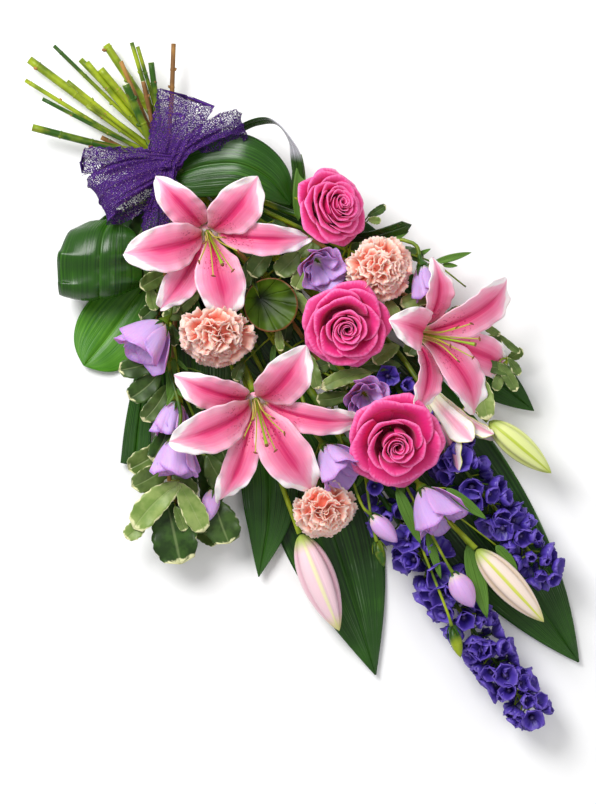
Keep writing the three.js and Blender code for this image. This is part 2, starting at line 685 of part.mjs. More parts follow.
// A lily stem, with a branch for each of its buds.
function lilyStem(name, side, grow) {
  const { route, radii } = mainStem(name, LILIES[name], undefined, [[0, SLOT[name].radius]]);
  const stalks = side.map((twig) => branch(route, { ...twig, radius: BUD_STALK }, grow));
  return [stem(route, radii, 5, grow), ...stalks];
}

const LILY_SIDE = {
  lily_top: [],
  lily_low: [{ at: 0.7, flower: LILY_BUDS.pink_bud, via: [[96, -270, 26]] }],
  lily_side: [
    { at: 0.75, flower: HALF_OPEN_LILY, via: [[236, -196, 30]] },
    { at: 0.72, flower: LILY_BUDS.green_bud, via: [[270, -200, 24]] },
    {
      at: 0.7, flower: LILY_BUDS.cream_bud,
      via: [[166, -150, 17], [206, -232, 24], [234, -292, 34], [268, -346, 42]],
    },
  ],
};

// Large leaves

const LEAVES = {
  back_leaf_left: {
    lead: [[2, -34, 4]],
    route: [[6, -70, 2], [10, -130, 0.6], [12, -200, 0.6], [16, -262, 1], [20, -318, 3]],
    blade: { width: 74, rise: 0.6, fall: 0.55, wave: 1 },
  },
  back_leaf_middle: {
    lead: [[18, -26, 4]],
    route: [[34, -56, 2], [64, -110, 0.6], [96, -160, 0.6], [124, -204, 0.6], [146, -240, 0.6]],
    blade: { width: 86, rise: 0.6, fall: 0.5, wave: 1 },
  },
  back_leaf_right: {
    lead: [[22, -14, 4]],
    route: [[56, -26, 3], [108, -52, 0.6], [164, -80, 0.6], [216, -110, 0.6], [262, -140, 4]],
    blade: { width: 78, rise: 0.6, fall: 0.55, wave: 1 },
  },
  long_leaf: {
    lead: [[110, -126, 5]],
    route: [[168, -170, 6], [225, -240, 3], [290, -328, 0.6], [356, -420, 3], [419, -509, 8]],
    blade: { width: 114, rise: 0.6, fall: 0.62, wave: 1.5, waves: 1.5 }, along: 7,
  },
  middle_leaf: {
    lead: [[60, -116, 5]],
    route: [[100, -208, 6], [136, -290, 3], [166, -375, 0.6], [190, -450, 4], [212, -522, 8]],
    blade: { width: 108, rise: 0.7, fall: 0.6, wave: 1.5, waves: 1.5 }, along: 7,
  },
  narrow_leaf: {
    lead: [[36, -130, 5]],
    route: [[76, -244, 8], [98, -306, 9], [112, -362, 11], [106, -421, 12]],
    blade: { width: 60, rise: 0.55, fall: 0.6 },
  },
  side_leaf: {
    lead: [[26, -22, 8.5], [90, -56, 9]],
    route: [[226, -150, 11], [270, -180, 12], [325, -216, 13], [373, -253, 14]],
    blade: { width: 50, rise: 0.6, fall: 0.6 },
  },
  round_leaf: {
    lead: [[-12, -62, 4]],
    route: [[-22, -124, 4], [-42, -152, 3], [-64, -182, 4], [-85, -207, 8]],
    blade: { width: 76, rise: 0.45, fall: 0.45, wave: 1.5 },
  },
  cut_leaf: {
    lead: [[-6, -100, 5]],
    route: [[-18, -190, 8], [-24, -230, 8], [-30, -272, 8], [-33, -309, 10]],
    blade: { width: 30, rise: 0.2, fall: 0, least: 0.2 }, along: 4,
  },
  rolled_leaf: {
    lead: [[-14, -32, 4], [-28, -43, 4]],
    route: [
      [-44, -50, 4], [-60, -90, 3], [-66, -128, 12], [-67, -141, 34], [-66, -126, 54],
      [-65, -98, 62], [-62, -74, 56], [-56, -60, 44],
    ],
    blade: { width: 84, rise: 0.4, fall: 0.25, side: [1, 0.12, 0] }, along: 9,
  },
  arched_leaf: {
    lead: [[22, -10, 43]],
    route: [[30, -6, 46], [50, 0, 52], [76, -4, 60], [106, -20, 58], [126, -44, 52]],
    blade: { width: 60, rise: 0.5, fall: 0.5, arch: 0.3 }, along: 6,
  },
  looped_leaf: {
    lead: [[20, -2, 40]],
    route: [
      [36, 10, 39], [62, 24, 38], [88, 37, 48], [110, 36, 66], [127, 14, 72], [133, -14, 62],
      [133, -44, 52], [146, -70, 46], [200, -78, 47], [247, -66, 57],
    ],
    blade: { width: 17, rise: 0.1, fall: 0, least: 0.5, roll: [84, 12, 3] }, along: 10, across: 1,
  },
};

// A galax leaf: a round blade, cupped and notched, on a thin stalk that joins it at the notch.
const GALAX = { centre: V(106, -147, 60), radius: 27, notch: 128 };

function galaxLeaf(grow) {
  const { centre, radius, notch } = GALAX;
  const blade = (s, t) => {
    const angle = rad(notch + 180 + t * 172);
    const r = lerp(2, radius, s);
    const frill = 1.4 * s * Math.sin(9 * rad(t * 172));
    return V(r * Math.cos(angle), r * Math.sin(angle), 9 * s * s + frill).add(centre);
  };
  const slot = SLOT.galax_leaf;
  const held = grip(slot);
  held[0].addScaledVector(ALONG, TAIL);
  const route = [...held, V(30, -52, 50), V(84, -120, 50), centre.clone().add(V(0, 0, -3)), centre.clone()];
  return fuse([
    stem(route, route.map(() => slot.radius), 4, grow),
    solid(sheet(blade, 1, 11, LEAF, grow)),
  ]);
}

// Pittosporum

const PITTOSPORUM = [
  {
    name: "pittosporum_left", tip: [30, -392, 36], via: [[8, -130, 20], [4, -250, 24], [4, -330, 32]],
    count: 12, from: 0.72, leaf: 46, seed: 3,
  },
  {
    name: "pittosporum_centre", tip: [168, -222, 50], via: [[46, -60, 42], [96, -120, 40]],
    count: 8, from: 0.46, leaf: 34, seed: 5,
  },
  {
    name: "pittosporum_right", tip: [346, -200, 40], via: [[110, -56, 17], [220, -124, 26], [290, -162, 38]],
    count: 12, from: 0.5, leaf: 36, seed: 9,
  },
  {
    name: "pittosporum_top", tip: [-12, -172, 44], via: [[6, -60, 44], [0, -110, 46]],
    count: 8, from: 0.56, leaf: 34, seed: 13,
  },
];

// Binding and ribbon

// A band round the bundle: a many-sided ring that holds every stem, set off by inner and outer. It lies flat.
function band(inner, outer, width, along, grow) {
  const sides = 12;
  const hull = (offset) =>
    Array.from({ length: sides }, (_, i) => {
      const angle = ((i + 0.5) / sides) * 2 * Math.PI;
      const way = new THREE.Vector2(Math.cos(angle), Math.sin(angle));
      const corners = Object.values(SLOT).map(({ centre, radius }) => {
        const reach = (radius + offset) / Math.cos(Math.PI / sides);
        return new THREE.Vector2(centre.dot(ACROSS), centre.z).addScaledVector(way, reach);
      });
      return corners.reduce((far, next) => (next.dot(way) > far.dot(way) ? next : far));
    });
  const shape = new THREE.Shape(hull(outer + grow));
  shape.holes.push(new THREE.Path(hull(inner - grow)));
  const ring = new THREE.ExtrudeGeometry(shape, { depth: width + 2 * grow, bevelEnabled: false });
  ring.translate(0, 0, along - width / 2 - grow);
  return solid(ring.applyMatrix4(new THREE.Matrix4().makeBasis(ACROSS, UP, ALONG.clone().negate())));
}

const RIBBON_STRIPS = [
  { route: [[0, 4, 4], [6, 30, 12], [20, 62, 6]], width: 56, rise: 0.4, fall: 0, wave: 3, waves: 1.5 },
  {
    route: [[4, 0, 4], [42, 16, 20], [74, 27, 20], [80, 30, 13], [54, 22, 5], [8, 2, 1]],
    width: 34, rise: 0.35, fall: 0.3, side: [-0.3, 1, 0],
  },
  { route: [[-4, 0, 4], [-40, -4, 8], [-83, -2, -2]], width: 28, rise: 0.3, fall: 0, wave: 2 },
  {
    route: [[-4, -4, 4], [-34, -22, 20], [-60, -40, 14], [-62, -44, 4], [-34, -26, -3], [-6, -5, 1]],
    width: 46, rise: 0.35, fall: 0.3, side: [0.6, -1, 0],
  },
  { route: [[0, -6, 4], [-4, -36, 12], [-12, -72, 4]], width: 28, rise: 0.3, fall: 0, wave: 2 },
];

function ribbonBow(grow) {
  const knot = V(0, 0, BUNDLE_TOP + 8.6);
  const parts = [band(0.6, BAND, 11, 6, grow)];
  const ends = [10, 0, -10].map((along) => knot.clone().addScaledVector(ALONG, along));
  parts.push(solid(stalk(ends, (s) => 5.5 + 2.5 * Math.sin(Math.PI * s), 2, 6, grow)));
  for (const { route, width, rise, fall, side, wave, waves } of RIBBON_STRIPS) {
    const points = route.map(([x, y, z]) => V(x, y, z).add(knot));
    const strip = leafBlade({ route: points, width, rise, fall, least: 0.3, side, wave, waves });
    parts.push(solid(sheet(strip, route.length + 1, 1, RIBBON, grow)));
  }
  return fuse(parts);
}

// Every piece, first those that keep their whole shape

const PIECES = [];
const add = (name, finish, make) => PIECES.push({ name, finish, make });

for (const [name, rose] of Object.entries(ROSES))
  add(name + "_stem", "stem", (grow) => [rod(name, rose, ROSE_HIP, grow)]);
for (const [name, side] of Object.entries(LILY_SIDE))
  add(name + "_stem", "stem", (grow) => lilyStem(name, side, grow));
for (const [name, carnation] of Object.entries(CARNATIONS))
  add(name + "_stem", "stem", (grow) => [rod(name, carnation, CARNATION_CALYX, grow)]);
for (const name of Object.keys(DELPHINIUM))
  add(name + "_stem", "stem", (grow) => [delphiniumStem(name, grow)]);
for (const [name, { main, via, side }] of Object.entries(SPRAYS))
  add(name + "_stems", "stem", (grow) => spray(name, main, via, side, grow));
for (const [name, flower] of Object.entries(LILIES)) {
  add(name + "_stamens", "stamen", (grow) => [lilyStamens(flower, grow)]);
  add(name + "_tepals", "lily", (grow) => [lilyTepals(flower, grow)]);
}
for (const [name, rose] of Object.entries(ROSES))
  add(name + "_petals", "rose", (grow) => [rosePetals(rose, grow)]);
for (const [name, carnation] of Object.entries(CARNATIONS))
  add(name + "_petals", "carnation", (grow) => [carnationPetals(carnation, grow)]);
add("half_open_lily", "paleLily", (grow) => [halfOpenLily(HALF_OPEN_LILY, grow)]);
for (const [name, bud] of Object.entries(LILY_BUDS))
  add("lily_" + name, bud.finish, (grow) => [lilyBud(bud, grow)]);
for (const [name, flower] of Object.entries(LISIANTHUS))
  add(name, "lisianthus", (grow) => [lisianthusPetals(flower, grow)]);
for (const [name, spike] of Object.entries(DELPHINIUM))
  add(name + "_florets", "delphinium", (grow) => [delphiniumFlorets(spike, grow)]);
add("tie", "twine", (grow) => [band(0.6, 1.8, 7, -6, grow)]);
add("ribbon", "ribbon", (grow) => [ribbonBow(grow)]);
for (const [name, leaf] of Object.entries(LEAVES))
  add(name, name === "round_leaf" ? "broadLeaf" : "leaf", (grow) => [tiedLeaf({ ...leaf, name }, grow)]);
add("galax_leaf", "broadLeaf", (grow) => [galaxLeaf(grow)]);
for (const twig of PITTOSPORUM) add(twig.name, "variegated", (grow) => [pittosporum(twig, grow)]);

// Each piece is cut clear of those before it, and of the table.
const TABLE = solid(new THREE.BoxGeometry(4000, 4000, 50).translate(0, 0, -25));

function clearance(pieces) {
  const placed = [];
  for (const { name, finish, make } of pieces) {
    let body = fuse(make(0)).subtract(TABLE);
    for (const other of placed) if (touches(body, other.grown)) body = body.subtract(other.grown);
    placed.push({ name, finish, body: largest(body), grown: fuse(make(AIR)) });
  }
  return placed;
}

function touches(a, b) {
  const [p, q] = [a.boundingBox(), b.boundingBox()];
  return [0, 1, 2].every((i) => p.min[i] < q.max[i] && q.min[i] < p.max[i]);
}

const sheaf = new THREE.Group();
for (const { name, finish, body } of clearance(PIECES)) {
  const mesh = new THREE.Mesh(geometryOf(body), FINISH[finish]);
  mesh.name = name;
  sheaf.add(mesh);
}
sheaf.rotation.z = rad(PLAN_TURN);
sheaf.updateMatrixWorld(true);
const extent = new THREE.Box3().setFromObject(sheaf, true);
sheaf.position.set(-(extent.min.x + extent.max.x) / 2, -(extent.min.y + extent.max.y) / 2, 0);

export default sheaf;
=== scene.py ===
# %% [markdown]
# # A tied flower sheaf
# The sheaf lies on its back on a table: lilies, roses, carnations, lisianthus and delphinium over a fan of
# large leaves, tied at the stems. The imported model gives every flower's place with plain solids. This lesson
# gives each of them petals, leaves and stems that follow the same lines, so that nothing changes its size.

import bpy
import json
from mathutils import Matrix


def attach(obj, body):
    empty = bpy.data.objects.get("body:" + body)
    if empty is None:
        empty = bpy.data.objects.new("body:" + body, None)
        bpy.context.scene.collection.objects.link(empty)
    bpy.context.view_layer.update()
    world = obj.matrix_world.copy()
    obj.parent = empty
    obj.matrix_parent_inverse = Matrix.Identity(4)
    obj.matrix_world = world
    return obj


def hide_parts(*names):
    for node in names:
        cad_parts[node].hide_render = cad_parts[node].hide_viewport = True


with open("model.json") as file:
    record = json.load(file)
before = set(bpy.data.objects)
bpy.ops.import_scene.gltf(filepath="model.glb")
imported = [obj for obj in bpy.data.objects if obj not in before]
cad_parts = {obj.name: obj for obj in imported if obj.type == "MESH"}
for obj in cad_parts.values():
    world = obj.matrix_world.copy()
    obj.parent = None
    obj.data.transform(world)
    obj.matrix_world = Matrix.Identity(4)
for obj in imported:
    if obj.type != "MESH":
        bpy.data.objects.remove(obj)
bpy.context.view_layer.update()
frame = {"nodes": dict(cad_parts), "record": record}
print("nodes:", len(frame["nodes"]))

# %% [markdown]
# ## The florist's plan
# All places below are millimetres on the florist's plan: x to the right, y away from the florist, z up, with
# the origin on the table under the tie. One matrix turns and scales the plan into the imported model's frame.
# The tie's own mount in the record says where that origin is, so no place is measured twice.

# %% The plan's own frame
import collections
import functools
import json
import math
import bpy
import numpy as np
from mathutils import Matrix, Vector

MM = 0.001
PLAN_TURN = math.radians(-35)
TIE_FROM_ORIGIN = 0.006
UP = np.array([0, 0, 1.0])
rest = next(m for m in frame["record"]["mounts"] if m["name"] == "rest")
ORIGIN = Vector(rest["pos_m"]) + Vector((0, TIE_FROM_ORIGIN, 0))
PLAN_MATRIX = Matrix.Translation(ORIGIN) @ Matrix.Rotation(PLAN_TURN, 4, "Z") @ Matrix.Scale(MM, 4)
PLAN = np.array(PLAN_MATRIX)
print("plan origin:", tuple(round(x, 4) for x in ORIGIN))

# %% [markdown]
# ## Camera, lights and table
# The photographer stood over the table with a long lens, so there is hardly any perspective. The light is a
# white studio tent: one broad lamp from the upper left to model the petals, a weaker one from the right, and
# a bright surround that leaves almost no shadow on the pale table.

# %% Camera
VIEW_CENTRE = (133, -244, 70)
LENS = 200
SENSOR = 36
PICTURE_WIDTH = 596

middle = PLAN_MATRIX @ Vector(VIEW_CENTRE)
distance = PICTURE_WIDTH * MM * LENS / SENSOR
camera = bpy.data.objects.new("camera", bpy.data.cameras.new("camera"))
camera.data.lens = LENS
camera.data.sensor_width = SENSOR
camera.data.sensor_fit = "HORIZONTAL"
camera.location = middle + Vector((0, 0, distance))
camera.rotation_euler = (0, 0, PLAN_TURN)
bpy.context.scene.collection.objects.link(camera)
bpy.context.scene.camera = camera
print("camera height:", round(camera.location.z, 3))


# %% Lights and table
def lamp(name, plan_place, watts, size):
    light = bpy.data.lights.new(name, "AREA")
    light.energy = watts
    light.size = size
    made = bpy.data.objects.new(name, light)
    made.location = PLAN_MATRIX @ Vector(plan_place)
    made.rotation_euler = (middle - made.location).to_track_quat("-Z", "Y").to_euler()
    bpy.context.scene.collection.objects.link(made)


KEY_WATTS = 36
FILL_WATTS = 6
SURROUND = 0.5
lamp("key", (-700, 700, 1500), KEY_WATTS, 0.9)
lamp("fill", (1300, -900, 1400), FILL_WATTS, 1.4)
world = bpy.data.worlds.new("tent")
world.use_nodes = True
world.node_tree.nodes["Background"].inputs["Color"].default_value = (1, 1, 1, 1)
world.node_tree.nodes["Background"].inputs["Strength"].default_value = SURROUND
bpy.context.scene.world = world
bpy.context.scene.view_settings.view_transform = "Standard"
bpy.ops.mesh.primitive_plane_add(size=8, location=(0, 0, 0))
table = bpy.context.object
table.name = "table"
print("lamps and table are set")

# %% [markdown]
# ## Shader helpers
# A node material is a small sum, and it could be drawn by hand in the shader editor. Here a Wire stands for
# the output of a node and can be added, subtracted and multiplied, so that a recipe below reads as its own
# formula, and each step of it becomes one node.


# %% Wires and colours
class Wire:
    """The output of a shader node, which adds, subtracts and multiplies like a number."""

    def __init__(self, tree, socket):
        self.tree = tree
        self.socket = socket

    def __add__(self, other):
        return calc("ADD", self, other)

    def __sub__(self, other):
        return calc("SUBTRACT", self, other)

    def __rsub__(self, other):
        return calc("SUBTRACT", other, self)

    def __mul__(self, other):
        return calc("MULTIPLY", self, other)


def hex_colour(code):
    channels = [int(code[i:i + 2], 16) / 255 for i in (0, 2, 4)]
    linear = [c / 12.92 if c <= 0.04045 else ((c + 0.055) / 1.055) ** 2.4 for c in channels]
    return (*linear, 1)


def feed(socket, value):
    """Links a wire to a socket, or sets a number or a colour on it."""
    if isinstance(value, Wire):
        value.tree.links.new(value.socket, socket)
    else:
        socket.default_value = hex_colour(value) if isinstance(value, str) else value


def node(kind, inputs, output=0, **settings):
    """A new node beside the wires that it takes in, as the wire of one of its outputs."""
    tree = next(value.tree for value in inputs.values() if isinstance(value, Wire))
    made = tree.nodes.new("ShaderNode" + kind)
    for label, value in settings.items():
        setattr(made, label, value)
    for key, value in inputs.items():
        feed(made.inputs[key], value)
    return Wire(tree, made.outputs[output])


print("a petal's red in linear light:", round(hex_colour("da2a70")[0], 3))


# %% Sums, fades and coats of colour
def calc(operation, *values):
    return node("Math", dict(enumerate(values)), operation=operation)


def fade(value, low, high):
    """0 below low and 1 above high, with a soft step between them."""
    inputs = {"Value": value, "From Min": low, "From Max": high}
    return node("MapRange", inputs, "Result", interpolation_type="SMOOTHSTEP")


def fade_out(value, low, high):
    return 1 - fade(value, low, high)


def coats(base, *layers):
    """A base colour under layers of paint, each a mask and a colour."""
    for mask, colour in layers:
        base = node("Mix", {0: mask, 6: base, 7: colour}, 2, data_type="RGBA")
    return base


def noise(where, scale, detail):
    return node("TexNoise", {"Vector": where, "Scale": scale, "Detail": detail}, "Fac")


def joined(x, y, z=0):
    return node("CombineXYZ", {0: x, 1: y, 2: z})


print("shader helpers ready")

# %% [markdown]
# ## Effects that several finishes share
# Every blade carries a UV map that runs across it and along it, and a random tint of its own. "Blade place"
# turns them into the distance from the midrib and from the foot. "Streaks" draws fine fibres along the
# blade, and "Mottle" makes soft patches in space. Each is a node group, built once, with its own values per
# material.


# %% Shared node groups
def effect(name, inputs, outputs, build):
    """A node group whose outputs are what build makes of its inputs."""
    group = bpy.data.node_groups.new(name, "ShaderNodeTree")
    for label, default in inputs.items():
        made = group.interface.new_socket(name=label, in_out="INPUT", socket_type="NodeSocketFloat")
        made.default_value = default
    for label in outputs:
        group.interface.new_socket(name=label, in_out="OUTPUT", socket_type="NodeSocketFloat")
    entry = group.nodes.new("NodeGroupInput")
    result = build(group, *(Wire(group, entry.outputs[label]) for label in inputs))
    end = group.nodes.new("NodeGroupOutput")
    for socket, value in zip(end.inputs, result):
        feed(socket, value)
    return group


def blade_map(tree):
    """A blade's own map: u across it and v along it, each from 0 to 1, and its tint."""
    uv = tree.nodes.new("ShaderNodeUVMap")
    uv.uv_map = "blade"
    split = tree.nodes.new("ShaderNodeSeparateXYZ")
    tree.links.new(uv.outputs[0], split.inputs[0])
    tint = tree.nodes.new("ShaderNodeAttribute")
    tint.attribute_name = "tint"
    return [Wire(tree, socket) for socket in (split.outputs[0], split.outputs[1], tint.outputs["Fac"])]


def build_place(tree):
    u, v, tint = blade_map(tree)
    return calc("ABSOLUTE", u * 2 - 1), v, tint


# how far apart two blades of different tint read the streaks
TINT_SHIFT = 40


def build_streaks(tree, count, length):
    u, v, tint = blade_map(tree)
    return [noise(joined(u * count, v * length, tint * TINT_SHIFT), 1, 3)]


def build_mottle(tree, scale):
    place = Wire(tree, tree.nodes.new("ShaderNodeTexCoord").outputs["Object"])
    return [noise(place, scale, 3)]


PLACE = effect("Blade place", {}, ["Across", "Along", "Tint"], build_place)
STREAKS = effect("Streaks", {"Count": 30, "Length": 2}, ["Streak"], build_streaks)
MOTTLE = effect("Mottle", {"Scale": 60}, ["Patch"], build_mottle)
print("groups:", [g.name for g in bpy.data.node_groups])


# %% Groups in a material, and the finish itself
def use(tree, group, **values):
    """A group's node in a tree, as the wires of its outputs by name."""
    made = tree.nodes.new("ShaderNodeGroup")
    made.node_tree = group
    for label, value in values.items():
        feed(made.inputs[label], value)
    return {socket.name: Wire(tree, socket) for socket in made.outputs}


def streaks(tree, count, length):
    return use(tree, STREAKS, Count=count, Length=length)["Streak"]


def mottle(tree, scale):
    return use(tree, MOTTLE, Scale=scale)["Patch"]


def finish(name, paint, roughness=0.5, **constants):
    """A material whose colour and bump height come from paint(tree); the constants are set on its sockets."""
    material = bpy.data.materials.new(name)
    material.use_nodes = True
    tree = material.node_tree
    shader = tree.nodes["Principled BSDF"]
    shader.inputs["Roughness"].default_value = roughness
    for label, value in constants.items():
        shader.inputs[label.replace("_", " ")].default_value = value
    made = paint(tree)
    feed(shader.inputs["Base Color"], made["colour"])
    if "alpha" in made:
        feed(shader.inputs["Alpha"], made["alpha"])
    if "height" in made:
        bump = tree.nodes.new("ShaderNodeBump")
        bump.inputs["Distance"].default_value = made["relief"] * MM
        feed(bump.inputs["Height"], made["height"])
        tree.links.new(bump.outputs[0], shader.inputs["Normal"])
    print("finish:", name)
    return material


# %% [markdown]
# ## Petal finishes
# A petal is never one colour. A lily's tepal is white at its wavy margin and pink along its midrib, with
# small raised dots near the throat. A rose petal has painted shade at its foot and a painted highlight at its
# rim, and a carnation goes from painted salmon shade in its folds to nearly white at its teeth. The masks come
# from the blade's own place, so the same recipe fits each petal whatever its size.


# %% Lily petals
def paint_lily(tree):
    place = use(tree, PLACE)
    across, along = place["Across"], place["Along"]
    u, v, tint = blade_map(tree)
    streak = streaks(tree, 26, 1.6)
    rib = across + streak * 0.36 - 0.18
    rim = rib + fade(along, 0.62, 1) * 0.85
    cells = node("TexVoronoi", {"Vector": joined(u * 17, v * 34, tint), "Scale": 1}, "Distance")
    zone = fade(along, 0.06, 0.16) * fade_out(along, 0.3, 0.55) * fade_out(across, 0.5, 0.8)
    dots = fade_out(cells, 0.12, 0.3) * zone
    colour = coats("da2a70",
                   (fade(rim, 0.02, 0.45), "ee76a0"),
                   (fade(rim, 0.45, 0.9), "f3aac4"),
                   (fade(rim, 0.9, 1.12), "fbeef0"),
                   (fade_out(rib, 0, 0.16) * fade_out(along, 0.5, 0.9) * 0.85, "c8145c"),
                   (dots * 0.8, "a80a48"),
                   (fade_out(along, 0.03, 0.12), "c6d27c"))
    return dict(colour=colour, height=streak * 0.5 + dots * 2, relief=0.6)


def paint_pale_lily(tree):
    place = use(tree, PLACE)
    streak = streaks(tree, 22, 1.4)
    rib = place["Across"] + streak * 0.3 - 0.15
    colour = coats("f2a9c0",
                   (fade(rib, 0.1, 0.6), "fbefec"),
                   (fade(rib, 0.9, 1.02), "d9dc7c"),
                   (fade_out(place["Along"], 0.05, 0.5), "e6e8c4"))
    return dict(colour=colour, height=streak, relief=0.5)


LILY = finish("lily", paint_lily, 0.45, Subsurface_Weight=0.15, Subsurface_Scale=0.002)
PALE_LILY = finish("pale lily", paint_pale_lily, 0.6, Subsurface_Weight=0.15, Subsurface_Scale=0.002)


# %% Lily buds and stamens
def bud_paint(skin, ridge, groove_shade, end=None):
    """A bud's skin with its three ridges, painted shade in the grooves between them and the colour of its tip.
    """
    def paint(tree):
        u, v, _ = blade_map(tree)
        third = calc("ABSOLUTE", calc("SINE", u * (3 * math.pi)))
        streak = streaks(tree, 60, 1.5)
        fibre = streak * 0.3 - 0.15
        colour = coats(skin,
                       # the groove colour darkens each groove between the ridges: painted shade
                       (fade_out(third + fibre, 0.02, 0.5) * 0.7, groove_shade),
                       (fade(third + fibre * 0.1, 0.972, 1.0), ridge),
                       (fade(v, 0.8, 1) * 0.8, end or ridge),
                       (fade_out(v, 0.03, 0.2), "a9bf56"))
        return dict(colour=colour, height=streak, relief=0.5)
    return paint


def paint_stamen(tree):
    """Pale at the foot; a tint over 0.4 gives the style's green and one over 0.85 the pollen's brown."""
    place = use(tree, PLACE)
    colour = coats("e6d692",
                   (fade(place["Along"], 0, 0.6), "b9b83c"),
                   (fade(place["Tint"], 0.3, 0.4), "8eae1c"),
                   (fade(place["Tint"], 0.75, 0.85), "84481e"))
    return dict(colour=colour, height=mottle(tree, 900), relief=0.2)


GREEN_BUD = finish("green lily bud", bud_paint("dbe394", "b3c436", "c3cf62"), 0.4)
CREAM_BUD = finish("cream lily bud", bud_paint("f3dfd0", "d0d650", "e2c49c"), 0.4)
PINK_BUD = finish("pink lily bud", bud_paint("f3cfd8", "efe6b8", "dfa3b4", "d6d95e"), 0.4)
STAMEN = finish("stamen", paint_stamen, 0.45)


# %% Rose, carnation, lisianthus and delphinium finishes
def petal_paint(depth, body, rim, vein, count, levels=(0.15, 0.7, 0.86, 1.0), veins=0.35):
    """depth to body over the first two levels of the petal's length, body to rim over the last two. The depth
    colour is painted shade in a rose, a carnation and a delphinium, and the rim colour is a painted highlight
    in a rose and a delphinium.
    """
    def paint(tree):
        place = use(tree, PLACE)
        streak = streaks(tree, count, 1.3)
        along = place["Along"] + (streak * 0.16 - 0.08)
        # for a rose and a delphinium the depth coat is painted shade and the rim coat a painted highlight; for
        # a carnation the depth coat is painted shade
        colour = coats(depth,
                       (fade(along, levels[0], levels[1]), body),
                       (fade(streak, 0.52, 0.68) * veins, vein),
                       (fade(along, levels[2], levels[3]), rim),
                       (place["Tint"] * 0.2, rim))
        return dict(colour=colour, height=streak, relief=0.35)
    return paint


# the rose's deep colour at each petal's foot is painted shade, and its pale rim colour a painted highlight
ROSE = finish("rose", petal_paint("98003a", "e62680", "ff76b8", "cf1468", 34, (0.15, 0.75, 0.9, 1.0)), 0.5,
              Sheen_Weight=0.15, Sheen_Roughness=0.4, Subsurface_Weight=0.1, Subsurface_Scale=0.002)
# the carnation's salmon colour at each petal's foot is painted shade in the folds
CARNATION = finish("carnation",
                   petal_paint("ff4a30", "ff9f88", "ffd8cc", "ff8e78", 20, (0.2, 0.66, 0.74, 1.0), 0.2), 0.7,
                   Subsurface_Weight=0.3, Subsurface_Scale=0.003)
LISIANTHUS_SKIN = finish("lisianthus",
                         petal_paint("eee0c8", "d6aae2", "b886d2", "bc94d4", 30, (0.0, 0.3, 0.9, 1.0), 0.3),
                         0.5, Subsurface_Weight=0.4, Subsurface_Scale=0.004)
# the delphinium's dark colour at each sepal's foot is painted shade in the floret's hollow, and its pale rim
# colour a painted highlight
DELPHINIUM_SKIN = finish("delphinium",
                         petal_paint("1a0c58", "44309e", "6a52bc", "281880", 12, (0.0, 0.55, 0.5, 1.0)), 0.42)
EYE = finish("delphinium eye", petal_paint("150c38", "2c1c5a", "6a5a8c", "120a38", 6), 0.6)

# %% [markdown]
# ## Leaf and stem finishes
# The large leaves have veins that run side by side from foot to tip, so their pattern is a wave across the
# UV map, and their surface is waxy. The galax leaf has veins that fan out. The small sage leaves have a
# cream margin with a ragged inner edge. Stems are smooth and green, some of them brown and woody.


# %% Large leaves
def leaf_paint(dark, light, ribs, sheen_strength=0.35, glare=None):
    """Veins side by side under a painted grey sheen; glare is the stretch where a painted reflection of the
    lamp lies on the leaf.
    """
    def paint(tree):
        u, v, tint = blade_map(tree)
        lines = calc("SINE", u * (ribs * 2 * math.pi)) * 0.045 + streaks(tree, 64, 1.1)
        share = fade(lines, 0.3, 0.7) * fade(mottle(tree, 20), 0.25, 0.7)
        share = calc("MAXIMUM", share, tint * fade(lines, 0.2, 0.6))
        # a painted grey sheen in patches along the raised veins
        sheen = fade(lines, 0.54, 0.7) * fade(mottle(tree, 33), 0.5, 0.66)
        midrib = fade_out(use(tree, PLACE)["Across"], 0.012, 0.05)
        colour = coats(dark, (share, light), (sheen * sheen_strength, "9aa896"), (midrib * 0.4, light))
        if glare:
            window = fade(v, glare[0], glare[0] + 0.05) - fade(v, glare[1], glare[1] + 0.05)
            # a painted reflection of the lamp across the glare stretch
            colour = coats(colour, (window * fade(lines, 0.35, 0.5), "c4c3cc"))
        return dict(colour=colour, height=lines * 0.6 - midrib, relief=0.5)
    return paint


DARK_LEAF = finish("dark leaf", leaf_paint("10300a", "386c14", 26), 0.25, Specular_IOR_Level=0.35)
# the looped leaf's glare stretch is a painted reflection of the lamp
STRIP_LEAF = finish("looped leaf", leaf_paint("0b2202", "356612", 8, glare=(0.3, 0.47)), 0.27)
YOUNG_LEAF = finish("young leaf", leaf_paint("2f5a14", "74a03a", 8, 0.1), 0.42, Specular_IOR_Level=0.3)
ROUND_LEAF = finish("round leaf", leaf_paint("32700e", "64a028", 6, 0.1), 0.33, Specular_IOR_Level=0.3)


# %% Galax and sage leaves
GALAX_VEINS = 9


def paint_galax(tree):
    u, v, _ = blade_map(tree)
    streak = streaks(tree, 22, 1.5)
    turn = u * (GALAX_VEINS * math.pi) + streak * 1.2
    vein = fade_out(calc("ABSOLUTE", calc("SINE", turn)), 0, 0.25)
    # the lighter patches fade out toward the stalk, so the middle of the cup stays dark: painted shade in the
    # funnel
    share = fade(mottle(tree, 26), 0.3, 0.7) * fade(v, 0.05, 0.7)
    colour = coats("0c1c00",
                   (share, "4e6c0c"),
                   (vein * 0.3, "0c1c00"),
                   (fade(v + (streak * 0.05 - 0.025), 0.94, 0.99), "7a4a2c"))
    return dict(colour=colour, height=vein * -1, relief=0.5)


